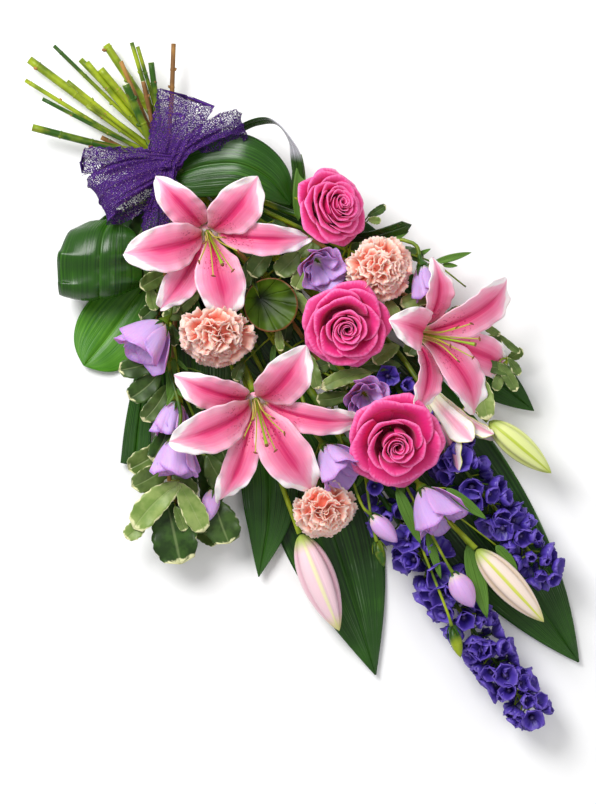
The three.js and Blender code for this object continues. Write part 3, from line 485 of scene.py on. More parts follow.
def paint_sage(tree):
    """Pale leaves at tint 0 and deep green ones at tint 1, with a cream margin; the deep green is partly the
    leaves' own and partly painted shade for the gaps.
    """
    place = use(tree, PLACE)
    across, tint = place["Across"], place["Tint"]
    patch = fade(mottle(tree, 90), 0.35, 0.65)
    edge = calc("MAXIMUM", across * (tint * -0.12 + 0.98), fade(place["Along"], 0.6, 1))
    ragged = edge + (streaks(tree, 4, 7) * 0.5 - 0.25)
    midrib = fade_out(across, 0.02, 0.1)
    colour = coats(coats("7a9646", (patch, "98ac60")),
                   # the deep green of tint 1 is partly the leaves' own colour and partly painted shade for the
                   # gaps
                   (tint, coats("122e08", (patch, "284c12"))),
                   (fade(ragged, 0.87, 0.98), "e4e3ae"),
                   (midrib * 0.2, "b8c78a"))
    return dict(colour=colour, height=midrib * -1, relief=0.4)


GALAX = finish("galax leaf", paint_galax, 0.42, Specular_IOR_Level=0.2)
SAGE_LEAF = finish("variegated leaf", paint_sage, 0.4, Specular_IOR_Level=0.3)


# %% Stems
def stem_paint(low, high, scar):
    def paint(tree):
        streak = streaks(tree, 10, 14)
        share = fade(mottle(tree, 35), 0.3, 0.7) + (use(tree, PLACE)["Tint"] * 0.8 - 0.4)
        colour = coats(low, (share, high), (fade(streak, 0.58, 0.72) * 0.7, scar))
        return dict(colour=colour, height=streak, relief=0.3)
    return paint


STEM = finish("green stem", stem_paint("2a520c", "9fb022", "7a5c24"), 0.4, Specular_IOR_Level=0.3)
WOOD = finish("woody stem", stem_paint("7a5224", "b0803a", "4d3318"), 0.65)
PALE_CUT = finish("cut end", stem_paint("cdd6a2", "e4e6c6", "b9bd88"), 0.7)

# %% [markdown]
# ## One blank for every blade and stalk
# A petal, a leaf and a stalk all start as Blender's flat grid: it is bent across and along into the blade,
# or rolled round into a stalk. A florist's petal has two curvatures and a ruffle at once, which no extrude
# or bevel gives, so the grid's corners are placed by a formula of t, from -1 to 1 across, and s, from 0 at
# the foot to 1 at the tip. The Solidify modifier then gives the petals their thickness.


# %% Blanks
Blade = collections.namedtuple("Blade", "points faces uv tint skin")


@functools.lru_cache(maxsize=None)
def blank(across, along):
    """Blender's grid of that many cells, as its t, s, faces and UV map."""
    bpy.ops.mesh.primitive_grid_add(x_subdivisions=across, y_subdivisions=along, size=2)
    grid = bpy.context.object
    corners = np.array([v.co[:2] for v in grid.data.vertices])
    faces = np.array([p.vertices[:] for p in grid.data.polygons])
    bpy.data.objects.remove(grid)
    t, s = corners[:, 0], (corners[:, 1] + 1) / 2
    return t, s, faces, np.stack([(t + 1) / 2, s], 1)[faces]


def bent(cells, place, matrix=None, tint=0.0, skin=0):
    """One blade: the blank of that many cells, bent by place(s, t) and set in the flower's frame."""
    t, s, faces, uv = blank(*cells)
    points = place(s, t)
    if matrix is not None:
        points = points @ matrix[:3, :3].T + matrix[:3, 3]
    return Blade(points, faces, uv, np.full(len(points), tint) if np.isscalar(tint) else tint(s), skin)


print("faces of a blank of 4 by 4 cells:", len(blank(4, 4)[2]))


# %% One mesh out of many blades
def mesh_of(name, blades, skins):
    """One object out of many blades, which keeps each one's map, tint and skin."""
    points = np.concatenate([b.points for b in blades]) @ PLAN[:3, :3].T + PLAN[:3, 3]
    starts = np.cumsum([0] + [len(b.points) for b in blades[:-1]])
    faces = np.concatenate([b.faces + start for b, start in zip(blades, starts)])
    skin = np.concatenate([np.full(len(b.faces), b.skin) for b in blades])
    uv = np.concatenate([b.uv for b in blades])
    tint = np.concatenate([b.tint for b in blades])
    mesh = bpy.data.meshes.new(name)
    mesh.vertices.add(len(points))
    mesh.vertices.foreach_set("co", points.astype(np.float32).ravel())
    mesh.loops.add(faces.size)
    mesh.loops.foreach_set("vertex_index", faces.astype(np.int32).ravel())
    mesh.polygons.add(len(faces))
    mesh.polygons.foreach_set("loop_start", np.arange(0, faces.size, 4, dtype=np.int32))
    mesh.polygons.foreach_set("material_index", skin.astype(np.int32))
    mesh.uv_layers.new(name="blade").uv.foreach_set("vector", uv.astype(np.float32).ravel())
    mesh.attributes.new("tint", "FLOAT", "POINT").data.foreach_set("value", tint.astype(np.float32))
    for material in skins:
        mesh.materials.append(material)
    mesh.update(calc_edges=True)
    mesh.validate()
    made = bpy.data.objects.new(name, mesh)
    bpy.context.scene.collection.objects.link(made)
    return made


print("a blade holds:", Blade._fields)


# %% Pieces
WELD = 1e-5


def choose(*objects):
    bpy.ops.object.select_all(action="DESELECT")
    for each in objects:
        each.select_set(True)
    bpy.context.view_layer.objects.active = objects[0]


def weld(made):
    """Closes the seam of each rolled blank and its poles, and turns every face outwards."""
    choose(made)
    bpy.ops.object.mode_set(mode="EDIT")
    bpy.ops.mesh.select_all(action="SELECT")
    bpy.ops.mesh.remove_doubles(threshold=WELD)
    bpy.ops.mesh.normals_make_consistent(inside=False)
    bpy.ops.object.mode_set(mode="OBJECT")


def piece(name, nodes, skins, blades=(), rods=(), thickness=0.5):
    """A finished piece: thick blades and welded rods, joined, smoothed and set on the nodes it replaces."""
    made = []
    if blades:
        sheet = mesh_of(name, blades, skins)
        choose(sheet)
        shell = sheet.modifiers.new("thickness", "SOLIDIFY")
        shell.thickness = thickness * MM
        shell.offset = 0
        bpy.ops.object.modifier_apply(modifier="thickness")
        made.append(sheet)
    if rods:
        made.append(mesh_of(name if not made else name + "_rods", rods, skins))
        weld(made[-1])
    choose(*made)
    if len(made) > 1:
        bpy.ops.object.join()
    bpy.ops.object.shade_smooth()
    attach(made[0], "root")
    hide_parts(*nodes)
    print(f"{name}: {len(made[0].data.polygons)} faces")
    return made[0]


# %% [markdown]
# ## Lines and rods
# A stalk could be a curve with a bevel, but then it would lack the map and the tint that the finishes read.
# So it is the same blank, rolled round a smooth line through given points. A petal's line is shorter
# to say: it leans more and more from upright, and its radius and height are the sum of its steps.


# %% Curves and rods
def spline(route):
    """A smooth curve through the points of a route, as point(s) for an array s from 0 to 1."""
    points = np.array(route, float)
    points = np.vstack([2 * points[0] - points[1], points, 2 * points[-1] - points[-2]])
    gaps = np.maximum(np.linalg.norm(np.diff(points, axis=0), axis=1) ** 0.5, 1e-4)[:, None]

    def point(s):
        at = np.clip(s, 0, 1) * (len(points) - 3)
        i = np.minimum(at.astype(int), len(points) - 4)
        w = (at - i)[:, None]
        p0, p1, p2, p3 = (points[i + k] for k in range(4))
        d0, d1, d2 = (gaps[i + k] for k in range(3))
        a = ((p1 - p0) / d0 - (p2 - p0) / (d0 + d1) + (p2 - p1) / d1) * d1
        b = ((p2 - p1) / d1 - (p3 - p1) / (d1 + d2) + (p3 - p2) / d2) * d1
        return p1 + a * w + (3 * (p2 - p1) - 2 * a - b) * w ** 2 + (2 * (p1 - p2) + a + b) * w ** 3
    return point


def unit(v):
    return v / np.maximum(np.linalg.norm(v, axis=-1, keepdims=True), 1e-9)


def heading_of(line, s, step=1e-3):
    return unit(line(np.minimum(s + step, 1)) - line(np.maximum(s - step, 0)))


POLE = 1e-4


def to_poles(s, radius):
    """The radius, drawn in to a point at both ends, where weld closes them."""
    return np.where((s < 1e-6) | (s > 1 - 1e-6), POLE, radius)


def rod(route, radii, cells=(10, 24), matrix=None, tint=0.0, skin=0):
    """A round stalk through the points of a route, with its radii at even steps; its ends are closed."""
    line = spline(route)
    shares = np.linspace(0, 1, len(radii))
    steep = abs(unit(line(np.ones(1)) - line(np.zeros(1)))[0, 2]) >= 0.9
    reference = np.array([1.0, 0, 0]) if steep else UP

    def place(s, t):
        end = 1 / cells[1]
        inner = np.clip((s - end) / (1 - 2 * end), 0, 1)
        way = heading_of(line, inner)
        side = unit(np.cross(way, reference))
        above = np.cross(side, way)
        radius = to_poles(s, np.interp(inner, shares, radii))[:, None]
        angle = (t * math.pi)[:, None]
        return line(inner) + radius * (side * np.cos(angle) + above * np.sin(angle))
    return bent(cells, place, matrix, tint, skin)


print("middle of a curve:", spline([(0, 0, 0), (10, 5, 0), (20, 0, 0)])(np.array([0.5]))[0])


# %% Stances and places on a line
def turned(axis, degrees):
    return np.array(Matrix.Rotation(math.radians(degrees), 4, axis))


def stance(flower):
    """The matrix that stands a flower on its foot, leaning tilt degrees from upright toward a heading."""
    toward = flower.get("toward", 0)
    lean = turned("Z", toward) @ turned("Y", flower.get("tilt", 0))
    place = np.array(Matrix.Translation(flower["foot"]))
    return place @ lean @ turned("Z", flower.get("spin", 0) - toward)


def lying(seat, heading, rise, roll=0):
    """The matrix that lays a small leaf from its seat along a heading."""
    turn = turned("Z", heading) @ turned("Y", -rise) @ turned("X", roll)
    return np.array(Matrix.Translation(seat)) @ turn


def back_from(flower, back):
    return np.array(flower["foot"], float) - back * stance(flower)[:3, 2]


def heading_to(x, y):
    return math.degrees(math.atan2(y, x))


def point_on(line, share):
    """The point at a share of a line's length."""
    line = np.array(line, float)
    lengths = np.linalg.norm(np.diff(line, axis=0), axis=1)
    left, i = share * lengths.sum(), 0
    while i < len(lengths) - 1 and left > lengths[i]:
        left -= lengths[i]
        i += 1
    return line[i] + (line[i + 1] - line[i]) * min(left / lengths[i], 1)


def nearest(line, foot, marks):
    """The one of that many marks on a stem's upper part that is nearest to a leaf's foot."""
    places = np.array([point_on(line, share) for share in np.linspace(0.3, 1, marks)])
    return places[np.linalg.norm(places - foot, axis=1).argmin()]


print("a heading:", heading_to(1, 1))


# %% Petal lines and seeded draws
def outline(s, rise, fall, least=0.04):
    """How wide a blade is at s, as a share of its widest."""
    peak = rise / (rise + fall)
    full = peak ** rise * (1 - peak) ** fall
    return np.maximum(s ** rise * np.maximum(1 - s, 0) ** fall / full, least)


def climb(angle, length):
    """The radius and height of a line whose lean from upright is given for each of its equal steps."""
    r = np.concatenate([[0], np.cumsum(np.sin(angle))]) * length / len(angle)
    h = np.concatenate([[0], np.cumsum(np.cos(angle))]) * length / len(angle)
    return r, h


def petal_line(length, lean, power=1, start=3, steps=48):
    """The line a petal follows, as radius, height and lean at s, in its flower's frame."""
    def lean_at(s):
        return np.radians(lean[0] + (lean[1] - lean[0]) * np.clip(s, 0, 1) ** power)

    r, h = climb(lean_at((np.arange(steps) + 0.5) / steps), length)
    at = np.linspace(0, 1, steps + 1)
    return lambda s: (np.interp(s, at, start + r), np.interp(s, at, h), lean_at(s))


def compass(degrees):
    """The cosine and the sine of an angle."""
    return math.cos(math.radians(degrees)), math.sin(math.radians(degrees))


def radial(azimuth, out, sideways, height):
    """Points from distances outwards and sideways of an azimuth in degrees, and heights."""
    c, n = compass(azimuth)
    return np.stack([out * c - sideways * n, out * n + sideways * c, height], -1)


def lerp(a, b, share):
    return a + (b - a) * share


def seeded(seed):
    """Draws from a plain seeded sequence, so that every run gives the same flower."""
    state = seed

    def draw(low, high):
        nonlocal state
        state = (state * 1664525 + 1013904223) % 2 ** 32
        return lerp(low, high, state / 2 ** 32)
    return draw


print("first draw of seed 2:", round(seeded(2)(0, 1), 3))

# %% [markdown]
# ## Lilies
# An open lily has six tepals in two rings of three: the inner ones are broad, the outer ones slimmer. Each
# rises out of the throat and curls back, with a channel along its midrib and a wavy white margin. Six
# filaments and a longer style stand out of the middle; the florist has pinched off the pollen.

# %% Lily tepals
# each tepal's azimuth, length and width, the three inner ones first
LILIES = {
    "lily_top": dict(foot=(42, -73, 62), tilt=18, toward=-65, tepals=[
        (183, 107, 52), (56, 96, 52), (284, 101, 52), (127, 93, 38), (4, 113, 36), (234, 98, 38)]),
    "lily_low": dict(foot=(90, -240, 60), tilt=22, toward=-75, tepals=[
        (193, 114, 50), (58, 103, 52), (306, 122, 52), (152, 103, 40), (253, 119, 36), (352, 122, 34)]),
    "lily_side": dict(foot=(251, -175, 64), tilt=42, toward=-12, tepals=[
        (160, 88, 46), (38, 120, 46), (-58, 112, 47), (90, 88, 36), (-17, 120, 42), (-105, 88, 36)]),
}
# the radius and height at which a tepal starts, and how it leans there and at its tip
INNER = dict(foot=(5, 5), lean=(12, 126))
OUTER = dict(foot=(8, 1.4), lean=(19, 132))
TEPAL_CELLS = (20, 44)


def tepal(azimuth, length, width, phase, foot, lean, power=1.1, wave=3):
    """A tepal's place(s, t); its ruffles, its sway and its twist change with phase."""
    line = petal_line(length, lean, power, foot[0])
    sway = 0.07 * length * math.sin(2.4 * phase + 1)
    twist = 0.16 * math.sin(1.7 * phase + 0.6)

    def place(s, t):
        r, h, angle = line(s)
        side = np.where(t > 0, 0, 2)
        ragged = 0.93 + s * (0.05 * np.sin(8 * s + phase + side) + 0.03 * np.sin(23 * s + 3 * phase + side))
        half = np.minimum(width / 2 * outline(s, 0.86, 0.66) * ragged, 0.85 * r)
        lift = 0.1 * t * t * half + twist * t * half * s ** 2
        channel = -1.9 * np.exp(-(t / 0.15) ** 2) * np.sin(np.pi * np.clip(s * 1.05, 0, 1)) ** 0.7
        ruffle = wave * t * t * s * np.sin(4.6 * np.pi * s + phase + side)
        ruffle += 0.7 * wave * np.abs(t) ** 3 * s * np.sin(13 * np.pi * s + 2.3 * phase + side)
        proud = channel + ruffle
        return radial(azimuth, r - lift - proud * np.cos(angle), t * half + sway * s * s,
                      foot[1] + h + lift + proud * np.sin(angle))
    return place


for name, flower in LILIES.items():
    blades = []
    for i, (azimuth, length, width) in enumerate(flower["tepals"]):
        place = tepal(azimuth, length, width, i, **(INNER if i < 3 else OUTER))
        blades.append(bent(TEPAL_CELLS, place, stance(flower), i / 6))
    cup = rod([(0, 0, 0.3), (0, 0, 4), (0, 0, 8)], [5, 8, 10], (16, 8), stance(flower))
    piece(name + "_bloom", [name + "_tepals"], [LILY], blades, [cup], 0.8)

# %% Lily stamens
STAMEN_TINT, STYLE_TINT, POLLEN_TINT = 0.0, 0.5, 1.0
for name, flower in LILIES.items():
    upright = stance({**flower, "spin": flower["toward"]})
    reach = flower["tepals"][0][1] * 0.72
    rods = []
    for i in range(6):
        c, n = compass(i * 60 + 20)
        bow = [(3 * c, 3 * n, 10), (7 * c + 2, 7 * n, lerp(10, reach, 0.5)), (20 * c + 8, 20 * n, reach)]
        tip = np.array(bow[-1])
        stub = [tip + (-2.4 * n, 2.4 * c, -0.4), tip, tip + (2.4 * n, -2.4 * c, 0.6)]
        rods.append(rod(bow, [0.9, 0.75, 0.6], (6, 14), upright, STAMEN_TINT))
        rods.append(rod(stub, [0.6, 1.1, 0.6], (6, 6), upright, POLLEN_TINT))
    style = [(0, 0, 10), (2, 0, reach * 0.5), (9, 0, reach * 0.95), (14, 0, reach * 1.15)]
    rods.append(rod(style, [1.8, 1.1, 1.1, 2.0], (8, 18), upright,
                    lambda s: np.where(s > 0.93, POLLEN_TINT, STYLE_TINT)))
    rods.append(rod([(0, 0, 9.3), (0, 0, 12)], [4.5, 3], (8, 4), upright, STYLE_TINT))
    piece(name + "_filaments", [name + "_stamens"], [STAMEN], rods=rods)

# %% [markdown]
# ## The half-open lily and the lily buds
# A lily opens from its tip: the half-open one is still a trumpet, and a bud is a spindle of six tepals whose
# seams show as ribs. The bud is one blank rolled round, with its radius drawn in a little along each seam.

# %% Half-open lily
HALF_OPEN = dict(foot=(262, -232, 40), tilt=84, toward=-51)
HALF_OPEN_LENGTH = 90
blades = []
for i in range(6):
    start = (7 - 1.5 * (i % 2), 0.5)
    place = tepal(60 * i + 8, HALF_OPEN_LENGTH - 8 * (i % 3), 34, i, start, (6, 34), power=2, wave=1.4)
    blades.append(bent((14, 30), place, stance(HALF_OPEN), i / 6))
cup = rod([(0, 0, 0.3), (0, 0, 5)], [4, 7], (12, 6), stance(HALF_OPEN))
piece("half_open_bloom", ["half_open_lily"], [PALE_LILY], blades, [cup], 0.8)

# %% Lily buds
LILY_BUDS = {
    "lily_green_bud": dict(foot=(325, -263, 46), tilt=86, toward=-40, size=(82, 28), skin=GREEN_BUD),
    "lily_cream_bud": dict(foot=(311, -391, 66), tilt=90, toward=-47, size=(100, 31), skin=CREAM_BUD),
    "lily_pink_bud": dict(foot=(135, -377, 34), tilt=90, toward=-68, size=(106, 37), skin=PINK_BUD),
}


def bud(length, width, ribs=3, start=0.3):
    """A closed bud of a length and a width, with a low ridge on each rib and a groove between them."""
    def place(s, t):
        angle = t * np.pi
        off_rib = 1 - np.cos(ribs * angle)
        ridge = 1 + 0.1 * np.exp(-(off_rib / 0.06)) - 0.13 * (off_rib / 2) ** 6
        radius = to_poles(s, width / 2 * outline(s, 0.66, 0.86, 0.02) * ridge)
        return np.stack([radius * np.cos(angle), radius * np.sin(angle), start + s * length], -1)
    return place


for name, flower in LILY_BUDS.items():
    closed = bent((72, 32), bud(*flower["size"]), stance({**flower, "spin": flower["toward"] + 180}))
    slot = "green_bud" if name == "lily_green_bud" else "lily_bud"
    piece(name + "_closed", [name], [flower["skin"]], rods=[closed])

# %% [markdown]
# ## Roses
# A rose is a spiral: its petals overlap like roof tiles, and each ring is turned against the one outside it.
# The outer petals reach out and roll back at their rims, so they show a pointed corner, and the inner ones
# wrap ever tighter about the heart. One petal formula reads its ring's row of the table.

# %% Rose rings
ROSES = {
    "rose_top": dict(foot=(156, -53, 64), tilt=38, toward=18, radius=43, seed=2),
    "rose_middle": dict(foot=(179, -163, 62), tilt=15, toward=-73, radius=46, seed=3, skip=(3,)),
    "rose_low": dict(foot=(227, -277, 66), tilt=18, toward=-69, radius=52, seed=4, skip=(2, 4)),
}
# each ring's petals, its rim's radius and height as shares of the rose's radius, and how far round and wound
ROSE_LAYERS = [
    dict(count=5, rim=(0.93, 0.36), length=0.95, leans=(86, 62, 60, 118), span=48, wind=0.05),
    dict(count=5, rim=(0.84, 0.52), length=0.85, leans=(80, 40, 34, 108), span=50, wind=0.06),
    dict(count=5, rim=(0.69, 0.65), length=0.8, leans=(70, 24, 14, 98), span=52, wind=0.08),
    dict(count=5, rim=(0.55, 0.75), length=0.75, leans=(60, 14, 2, 84), span=54, wind=0.1),
    dict(count=4, rim=(0.42, 0.83), length=0.7, leans=(50, 6, -6, 72), span=64, wind=0.13),
    dict(count=4, rim=(0.30, 0.88), length=0.65, leans=(40, 2, -10, 58), span=72, wind=0.17),
    dict(count=3, rim=(0.19, 0.91), length=0.6, leans=(24, 0, -12, 36), span=96, wind=0.24),
    dict(count=3, rim=(0.095, 0.92), length=0.55, leans=(10, 0, -6, 14), span=110, wind=0.36),
]
LEAN_PLACES = (0, 0.45, 0.74, 1)


def leaning(length, leans, rim, steps=48):
    """A petal's radius and height at s from its leans at four places, ending at the rim."""
    r, h = climb(np.radians(np.interp((np.arange(steps) + 0.5) / steps, LEAN_PLACES, leans)), length)
    r, h = np.maximum(r + rim[0] - r[-1], 0.4), h + rim[1] - h[-1]
    at = np.linspace(0, 1, steps + 1)
    return lambda s: (np.interp(s, at, r), np.interp(s, at, h))


print("rings of a rose:", len(ROSE_LAYERS))


# %% Rose petals
def rose_petal(size, layer, azimuth, draw):
    leans = [a + draw(-5, 5) for a in layer["leans"]]
    outer = layer["rim"][0]
    rim = (size * outer * draw(0.96, 1.04), size * (layer["rim"][1] + draw(-0.02, 0.02)))
    line = leaning(size * layer["length"], leans, rim)
    span = math.radians(layer["span"] * draw(0.92, 1.08))
    phase = draw(0, 6)

    def place(s, t):
        r, h = line(s * (1 - 0.17 * np.abs(t) ** 3))
        point = np.exp(-(t / 0.2) ** 2) * s ** 5
        wave = 0.022 * size * s ** 2 * np.sin(3.6 * t + phase)
        r = (r + 0.075 * size * outer * point + wave * outer) * (1 + layer["wind"] * t)
        h = h - 0.02 * size * outer * point + 0.4 * wave - 0.05 * size * outer * t ** 4 * s ** 3
        width = 0.35 + 0.65 * np.sin(np.minimum(s * 1.3, 1) * np.pi / 2)
        angle = math.radians(azimuth) + t * span * width
        return np.stack([r * np.cos(angle), r * np.sin(angle), h], -1)
    return place


for name, flower in ROSES.items():
    draw = seeded(flower["seed"])
    blades = []
    for ring, layer in enumerate(ROSE_LAYERS):
        for k in range(0 if ring in flower.get("skip", ()) else layer["count"]):
            azimuth = 360 * k / layer["count"] + ring * 41 + draw(-7, 7)
            place = rose_petal(flower["radius"], layer, azimuth, draw)
            blades.append(bent((14, 18), place, stance(flower), draw(0, 1)))
    piece(name + "_bloom", [name + "_petals"], [ROSE], blades, thickness=0.5)

# %% [markdown]
# ## Carnations
# A carnation is a ball of crimped petals with saw-toothed rims. Each petal is a narrow claw that opens into
# a fan, gathered into folds as cloth is on a thread, and every second pair of its rim's corners is drawn
# back as a tooth. A fine grid could carry finer teeth, but there are forty petals in each ball.

# %% Carnation rings
CARNATIONS = {
    "carnation_right": dict(foot=(211, -107, 60), tilt=18, toward=-40, radius=37, neck=34, seed=5),
    "carnation_left": dict(
        foot=(52, -167, 54), tilt=38, toward=-92, radius=42, neck=24, seed=6, via=[(30, -80, 33)]),
    "carnation_low": dict(foot=(157, -345, 47), tilt=38, toward=-78, radius=36, neck=34, seed=7),
}
FAN_CELLS = (30, 10)
CARNATION_LAYERS = [
    dict(count=8, rim=(0.99, 0.34), leans=(66, 58, 84, 112)),
    dict(count=8, rim=(0.93, 0.52), leans=(48, 44, 68, 100)),
    dict(count=7, rim=(0.80, 0.68), leans=(34, 30, 52, 92)),
    dict(count=6, rim=(0.62, 0.80), leans=(22, 18, 40, 80)),
    dict(count=5, rim=(0.43, 0.88), leans=(12, 10, 30, 66)),
    dict(count=4, rim=(0.24, 0.93), leans=(6, 4, 20, 54)),
    dict(count=2, rim=(0.08, 0.94), leans=(0, 0, 10, 40)),
]


def carnation_petal(size, layer, azimuth, draw):
    rim = (size * layer["rim"][0] * draw(0.82, 1.02), size * (layer["rim"][1] + draw(-0.1, 0.02)))
    leans = [a + draw(-10, 10) for a in layer["leans"]]
    line = leaning(0.85 * size, leans, rim)
    half = size * draw(0.34, 0.48)
    folds, phase = draw(0.9, 1.7), draw(0, 6)
    notches = np.array([draw(0.0, 0.02) + 0.03 * (k // 2 % 2) for k in range(FAN_CELLS[0] + 1)])
    lean = math.radians(leans[2])

    def place(s, t):
        corner = np.round((t + 1) * FAN_CELLS[0] / 2).astype(int)
        r, h = line(s * (1 - 0.14 * t * t) * (1 - notches[corner] * s ** 5))
        crimp = 0.11 * size * s ** 1.5 * np.sin(folds * np.pi * t + phase)
        crimp += 0.03 * size * s ** 3 * np.sin(2.7 * folds * np.pi * t + 2 * phase)
        return radial(azimuth, r - crimp * math.cos(lean), t * half * (0.15 + 0.85 * s ** 0.7),
                      h + crimp * math.sin(lean))
    return place


print("petals of a carnation:", sum(layer["count"] for layer in CARNATION_LAYERS))

# %% Carnation petals
HEART = [0.25, 0.5, 0.56, 0.46, 0.1]
for name, flower in CARNATIONS.items():
    draw = seeded(flower["seed"])
    size = flower["radius"]
    blades = []
    for ring, layer in enumerate(CARNATION_LAYERS):
        for k in range(layer["count"]):
            azimuth = 360 * k / layer["count"] + ring * 31 + draw(-9, 9)
            place = carnation_petal(size, layer, azimuth, draw)
            blades.append(bent(FAN_CELLS, place, stance(flower), draw(0, 1)))
    heart = rod([(0, 0, 0.1 * size), (0, 0, 0.62 * size)], [share * size for share in HEART], (24, 12),
                stance(flower))
    piece(name + "_bloom", [name + "_petals"], [CARNATION], blades, [heart], 0.35)

# %% [markdown]
# ## Lisianthus
# A lisianthus is a bell of broad lilac petals, each with one edge over its neighbour, so the bell looks
# wound. An open one shows a second ring inside. How far the bell is open is one angle, the lean of its rim,
# so the same formula gives the open flowers and the ones that are seen from the side.

# %% Lisianthus bells
LISIANTHUS = {
    "a": dict(foot=(151, -101, 62), tilt=30, toward=-60, length=34, open=22),
    "b": dict(foot=(-2, -165, 62), tilt=74, toward=-129, length=50, open=8),
    "c": dict(foot=(199, -235, 52), tilt=20, toward=-60, length=33, open=20, neck=8),
    "d": dict(foot=(11, -244, 42), tilt=84, toward=-106, length=40, open=-6),
    "e": dict(foot=(13, -279, 62), tilt=80, toward=-95, length=44, open=4),
    "g": dict(foot=(160, -289, 66), tilt=62, toward=-54, length=46, open=-2),
    "h": dict(foot=(257, -331, 70), tilt=74, toward=-58, length=50, open=6),
    "i": dict(foot=(258, -108, 58), tilt=76, toward=-72, length=36, open=-6),
}


def bell_petal(flower, azimuth, inner, draw):
    length = flower["length"] * draw(0.94, 1.04) * (0.9 if inner else 1.0)
    line = petal_line(length, (62, flower["open"] + draw(-8, 4)), 0.6, 4 - 1.5 * inner)
    phase = draw(0, 6)
    shrink = 0.74 if inner else 0.94

    def place(s, t):
        r, h, _ = line(s * (1 - 0.2 * np.abs(t) ** 2.4))
        point = np.exp(-(t / 0.25) ** 2) * s ** 5
        wave = 1.6 * s ** 2 * np.sin(2.1 * np.pi * t + phase)
        r = r * shrink * (1 + 0.2 * t) + wave + 0.06 * length * point + 1.8 * s ** 6
        span = math.radians(56) * (0.45 + 0.55 * np.sin(np.minimum(s * 1.5, 1) * np.pi / 2))
        angle = math.radians(azimuth) + t * span
        return np.stack([r * np.cos(angle), r * np.sin(angle), h + 0.3 - 0.4 * wave + 1.5 * point], -1)
    return place


for letter, flower in LISIANTHUS.items():
    draw = seeded(ord(letter))
    blades = []
    for k in range(5 + (4 if flower["open"] > 3 else 2)):
        inner = k >= 5
        place = bell_petal(flower, 72 * k + 36 * inner, inner, draw)
        blades.append(bent((16, 14), place, stance(flower), draw(0, 1)))
    name = "lisianthus_" + letter
    piece(name + "_bloom", [name], [LISIANTHUS_SKIN], blades, thickness=0.45)

# %% [markdown]
# ## Delphinium
# A delphinium spike carries florets in a spiral about its stem, and they are smaller and less open at the
# tip. Each floret is five cupped sepals about a small dark eye. A floret has only a few dozen faces, because
# there are so many of them. Each sits 137.5 degrees round from the one below it, as leaves grow.

# %% Florets
GOLDEN = 137.508
# hidden is the share of a spike that lies under other flowers, and the share of its radius that it has there
DELPHINIUM = {
    "delphinium_short": dict(
        start=(221, -215, 34), end=(386, -418, 36), florets=91, radius=26, hidden=(0.33, 0.68), seed=7),
    "delphinium_long": dict(
        start=(208, -326, 34), end=(371, -563, 30), florets=114, radius=27, hidden=(0.12, 0.8), seed=11),
}


def sepal(length, azimuth, width, lean, draw):
    line = petal_line(length, lean, 0.8, 1.2, 12)
    phase = draw(0, 6)

    def place(s, t):
        r, h, angle = line(s)
        half = width / 2 * outline(s, 0.62, 0.4, 0.1)
        lift = 0.4 * t * t * half + 1.1 * s * np.sin(3.4 * t + phase)
        return radial(azimuth, r - lift * np.cos(angle), t * half, h + lift * np.sin(angle))
    return place


def facing(seat, face, spin):
    """The matrix that sets a floret on its seat, looking along face."""
    aim = Vector(face).to_track_quat("Z", "X").to_matrix().to_4x4()
    return np.array(Matrix.Translation(seat) @ aim @ Matrix.Rotation(spin, 4, "Z"))


def floret(matrix, size, depth, openness, draw, tint):
    """Five sepals that start at a depth over the stem; openness is 1 for an open floret and 0 for a bud."""
    raised = matrix @ np.array(Matrix.Translation((0, 0, depth)))
    curl = draw(-24, 36)
    lean = (lerp(24, 80, openness), lerp(-40, 34, openness) + curl)
    width = size * lerp(0.8, 1.25, openness)
    places = [sepal(size * lerp(0.9, 1.1, draw(0, 1)), 72 * i, width, lean, draw) for i in range(5)]
    return [bent((5, 5), place, raised, tint) for place in places]


print("florets:", sum(spike["florets"] for spike in DELPHINIUM.values()))

# %% Delphinium spikes
BUDS_FROM = 0.94
EYE_SKIN, STEM_SKIN = 1, 2
for name, spike in DELPHINIUM.items():
    start, end = (np.array(spike[key], float) for key in ("start", "end"))
    way = unit(end - start)
    draw = seeded(spike["seed"])
    blades, rods = [], []
    for i in range(spike["florets"]):
        s = ((i + 0.5) / spike["florets"]) ** 0.85
        taper = spike["hidden"][1] if s < spike["hidden"][0] else lerp(1, 0.74, max(0, (s - 0.5) / 0.5))
        out = Matrix.Rotation(math.radians(i * GOLDEN), 3, Vector(way)) @ Vector(UP)
        face = (out + Vector(way) * draw(-0.3, 1.1)).normalized()
        reach = spike["radius"] * taper * (1 + 0.2 * min(face.z, 0))
        openness = draw(0.3, 0.85) if s < BUDS_FROM else lerp(0.9, 0.4, (s - BUDS_FROM) / (1 - BUDS_FROM))
        size = reach * draw(0.66, 0.84) * lerp(0.75, 1, openness)
        matrix = facing(start + (end - start) * s, face, draw(0, 1.2))
        depth = reach - size * lerp(0.9, 0.5, openness)
        blades += floret(matrix, size, depth, openness, draw, draw(0, 1))
        rods.append(rod([(0, 0, 0), (0, 0, depth)], [0.7, 1], (5, 3), matrix, draw(0, 0.25), STEM_SKIN))
        if i % 3 == 0:
            spur = [(0, 0, depth + 1), (-0.5 * size, 0, depth), (-1.05 * size, 0, depth + 0.1 * size)]
            rods.append(rod(spur, [1.2, 1, 0.5], (5, 3), matrix, 0.2))
        eye = [(0, 0, depth), (0, 0, depth + 0.35 * size)]
        rods.append(rod(eye, [0.12 * size, 0.18 * size], (6, 4), matrix, 0.2, EYE_SKIN))
    rods.append(rod([start + way, (start + end) / 2, end], [3.2, 2.2, 1.2], (8, 20), None, 0.1, STEM_SKIN))
    piece(name + "_spike", [name + "_florets"], [DELPHINIUM_SKIN, EYE, STEM], blades,
          rods, 0.35)

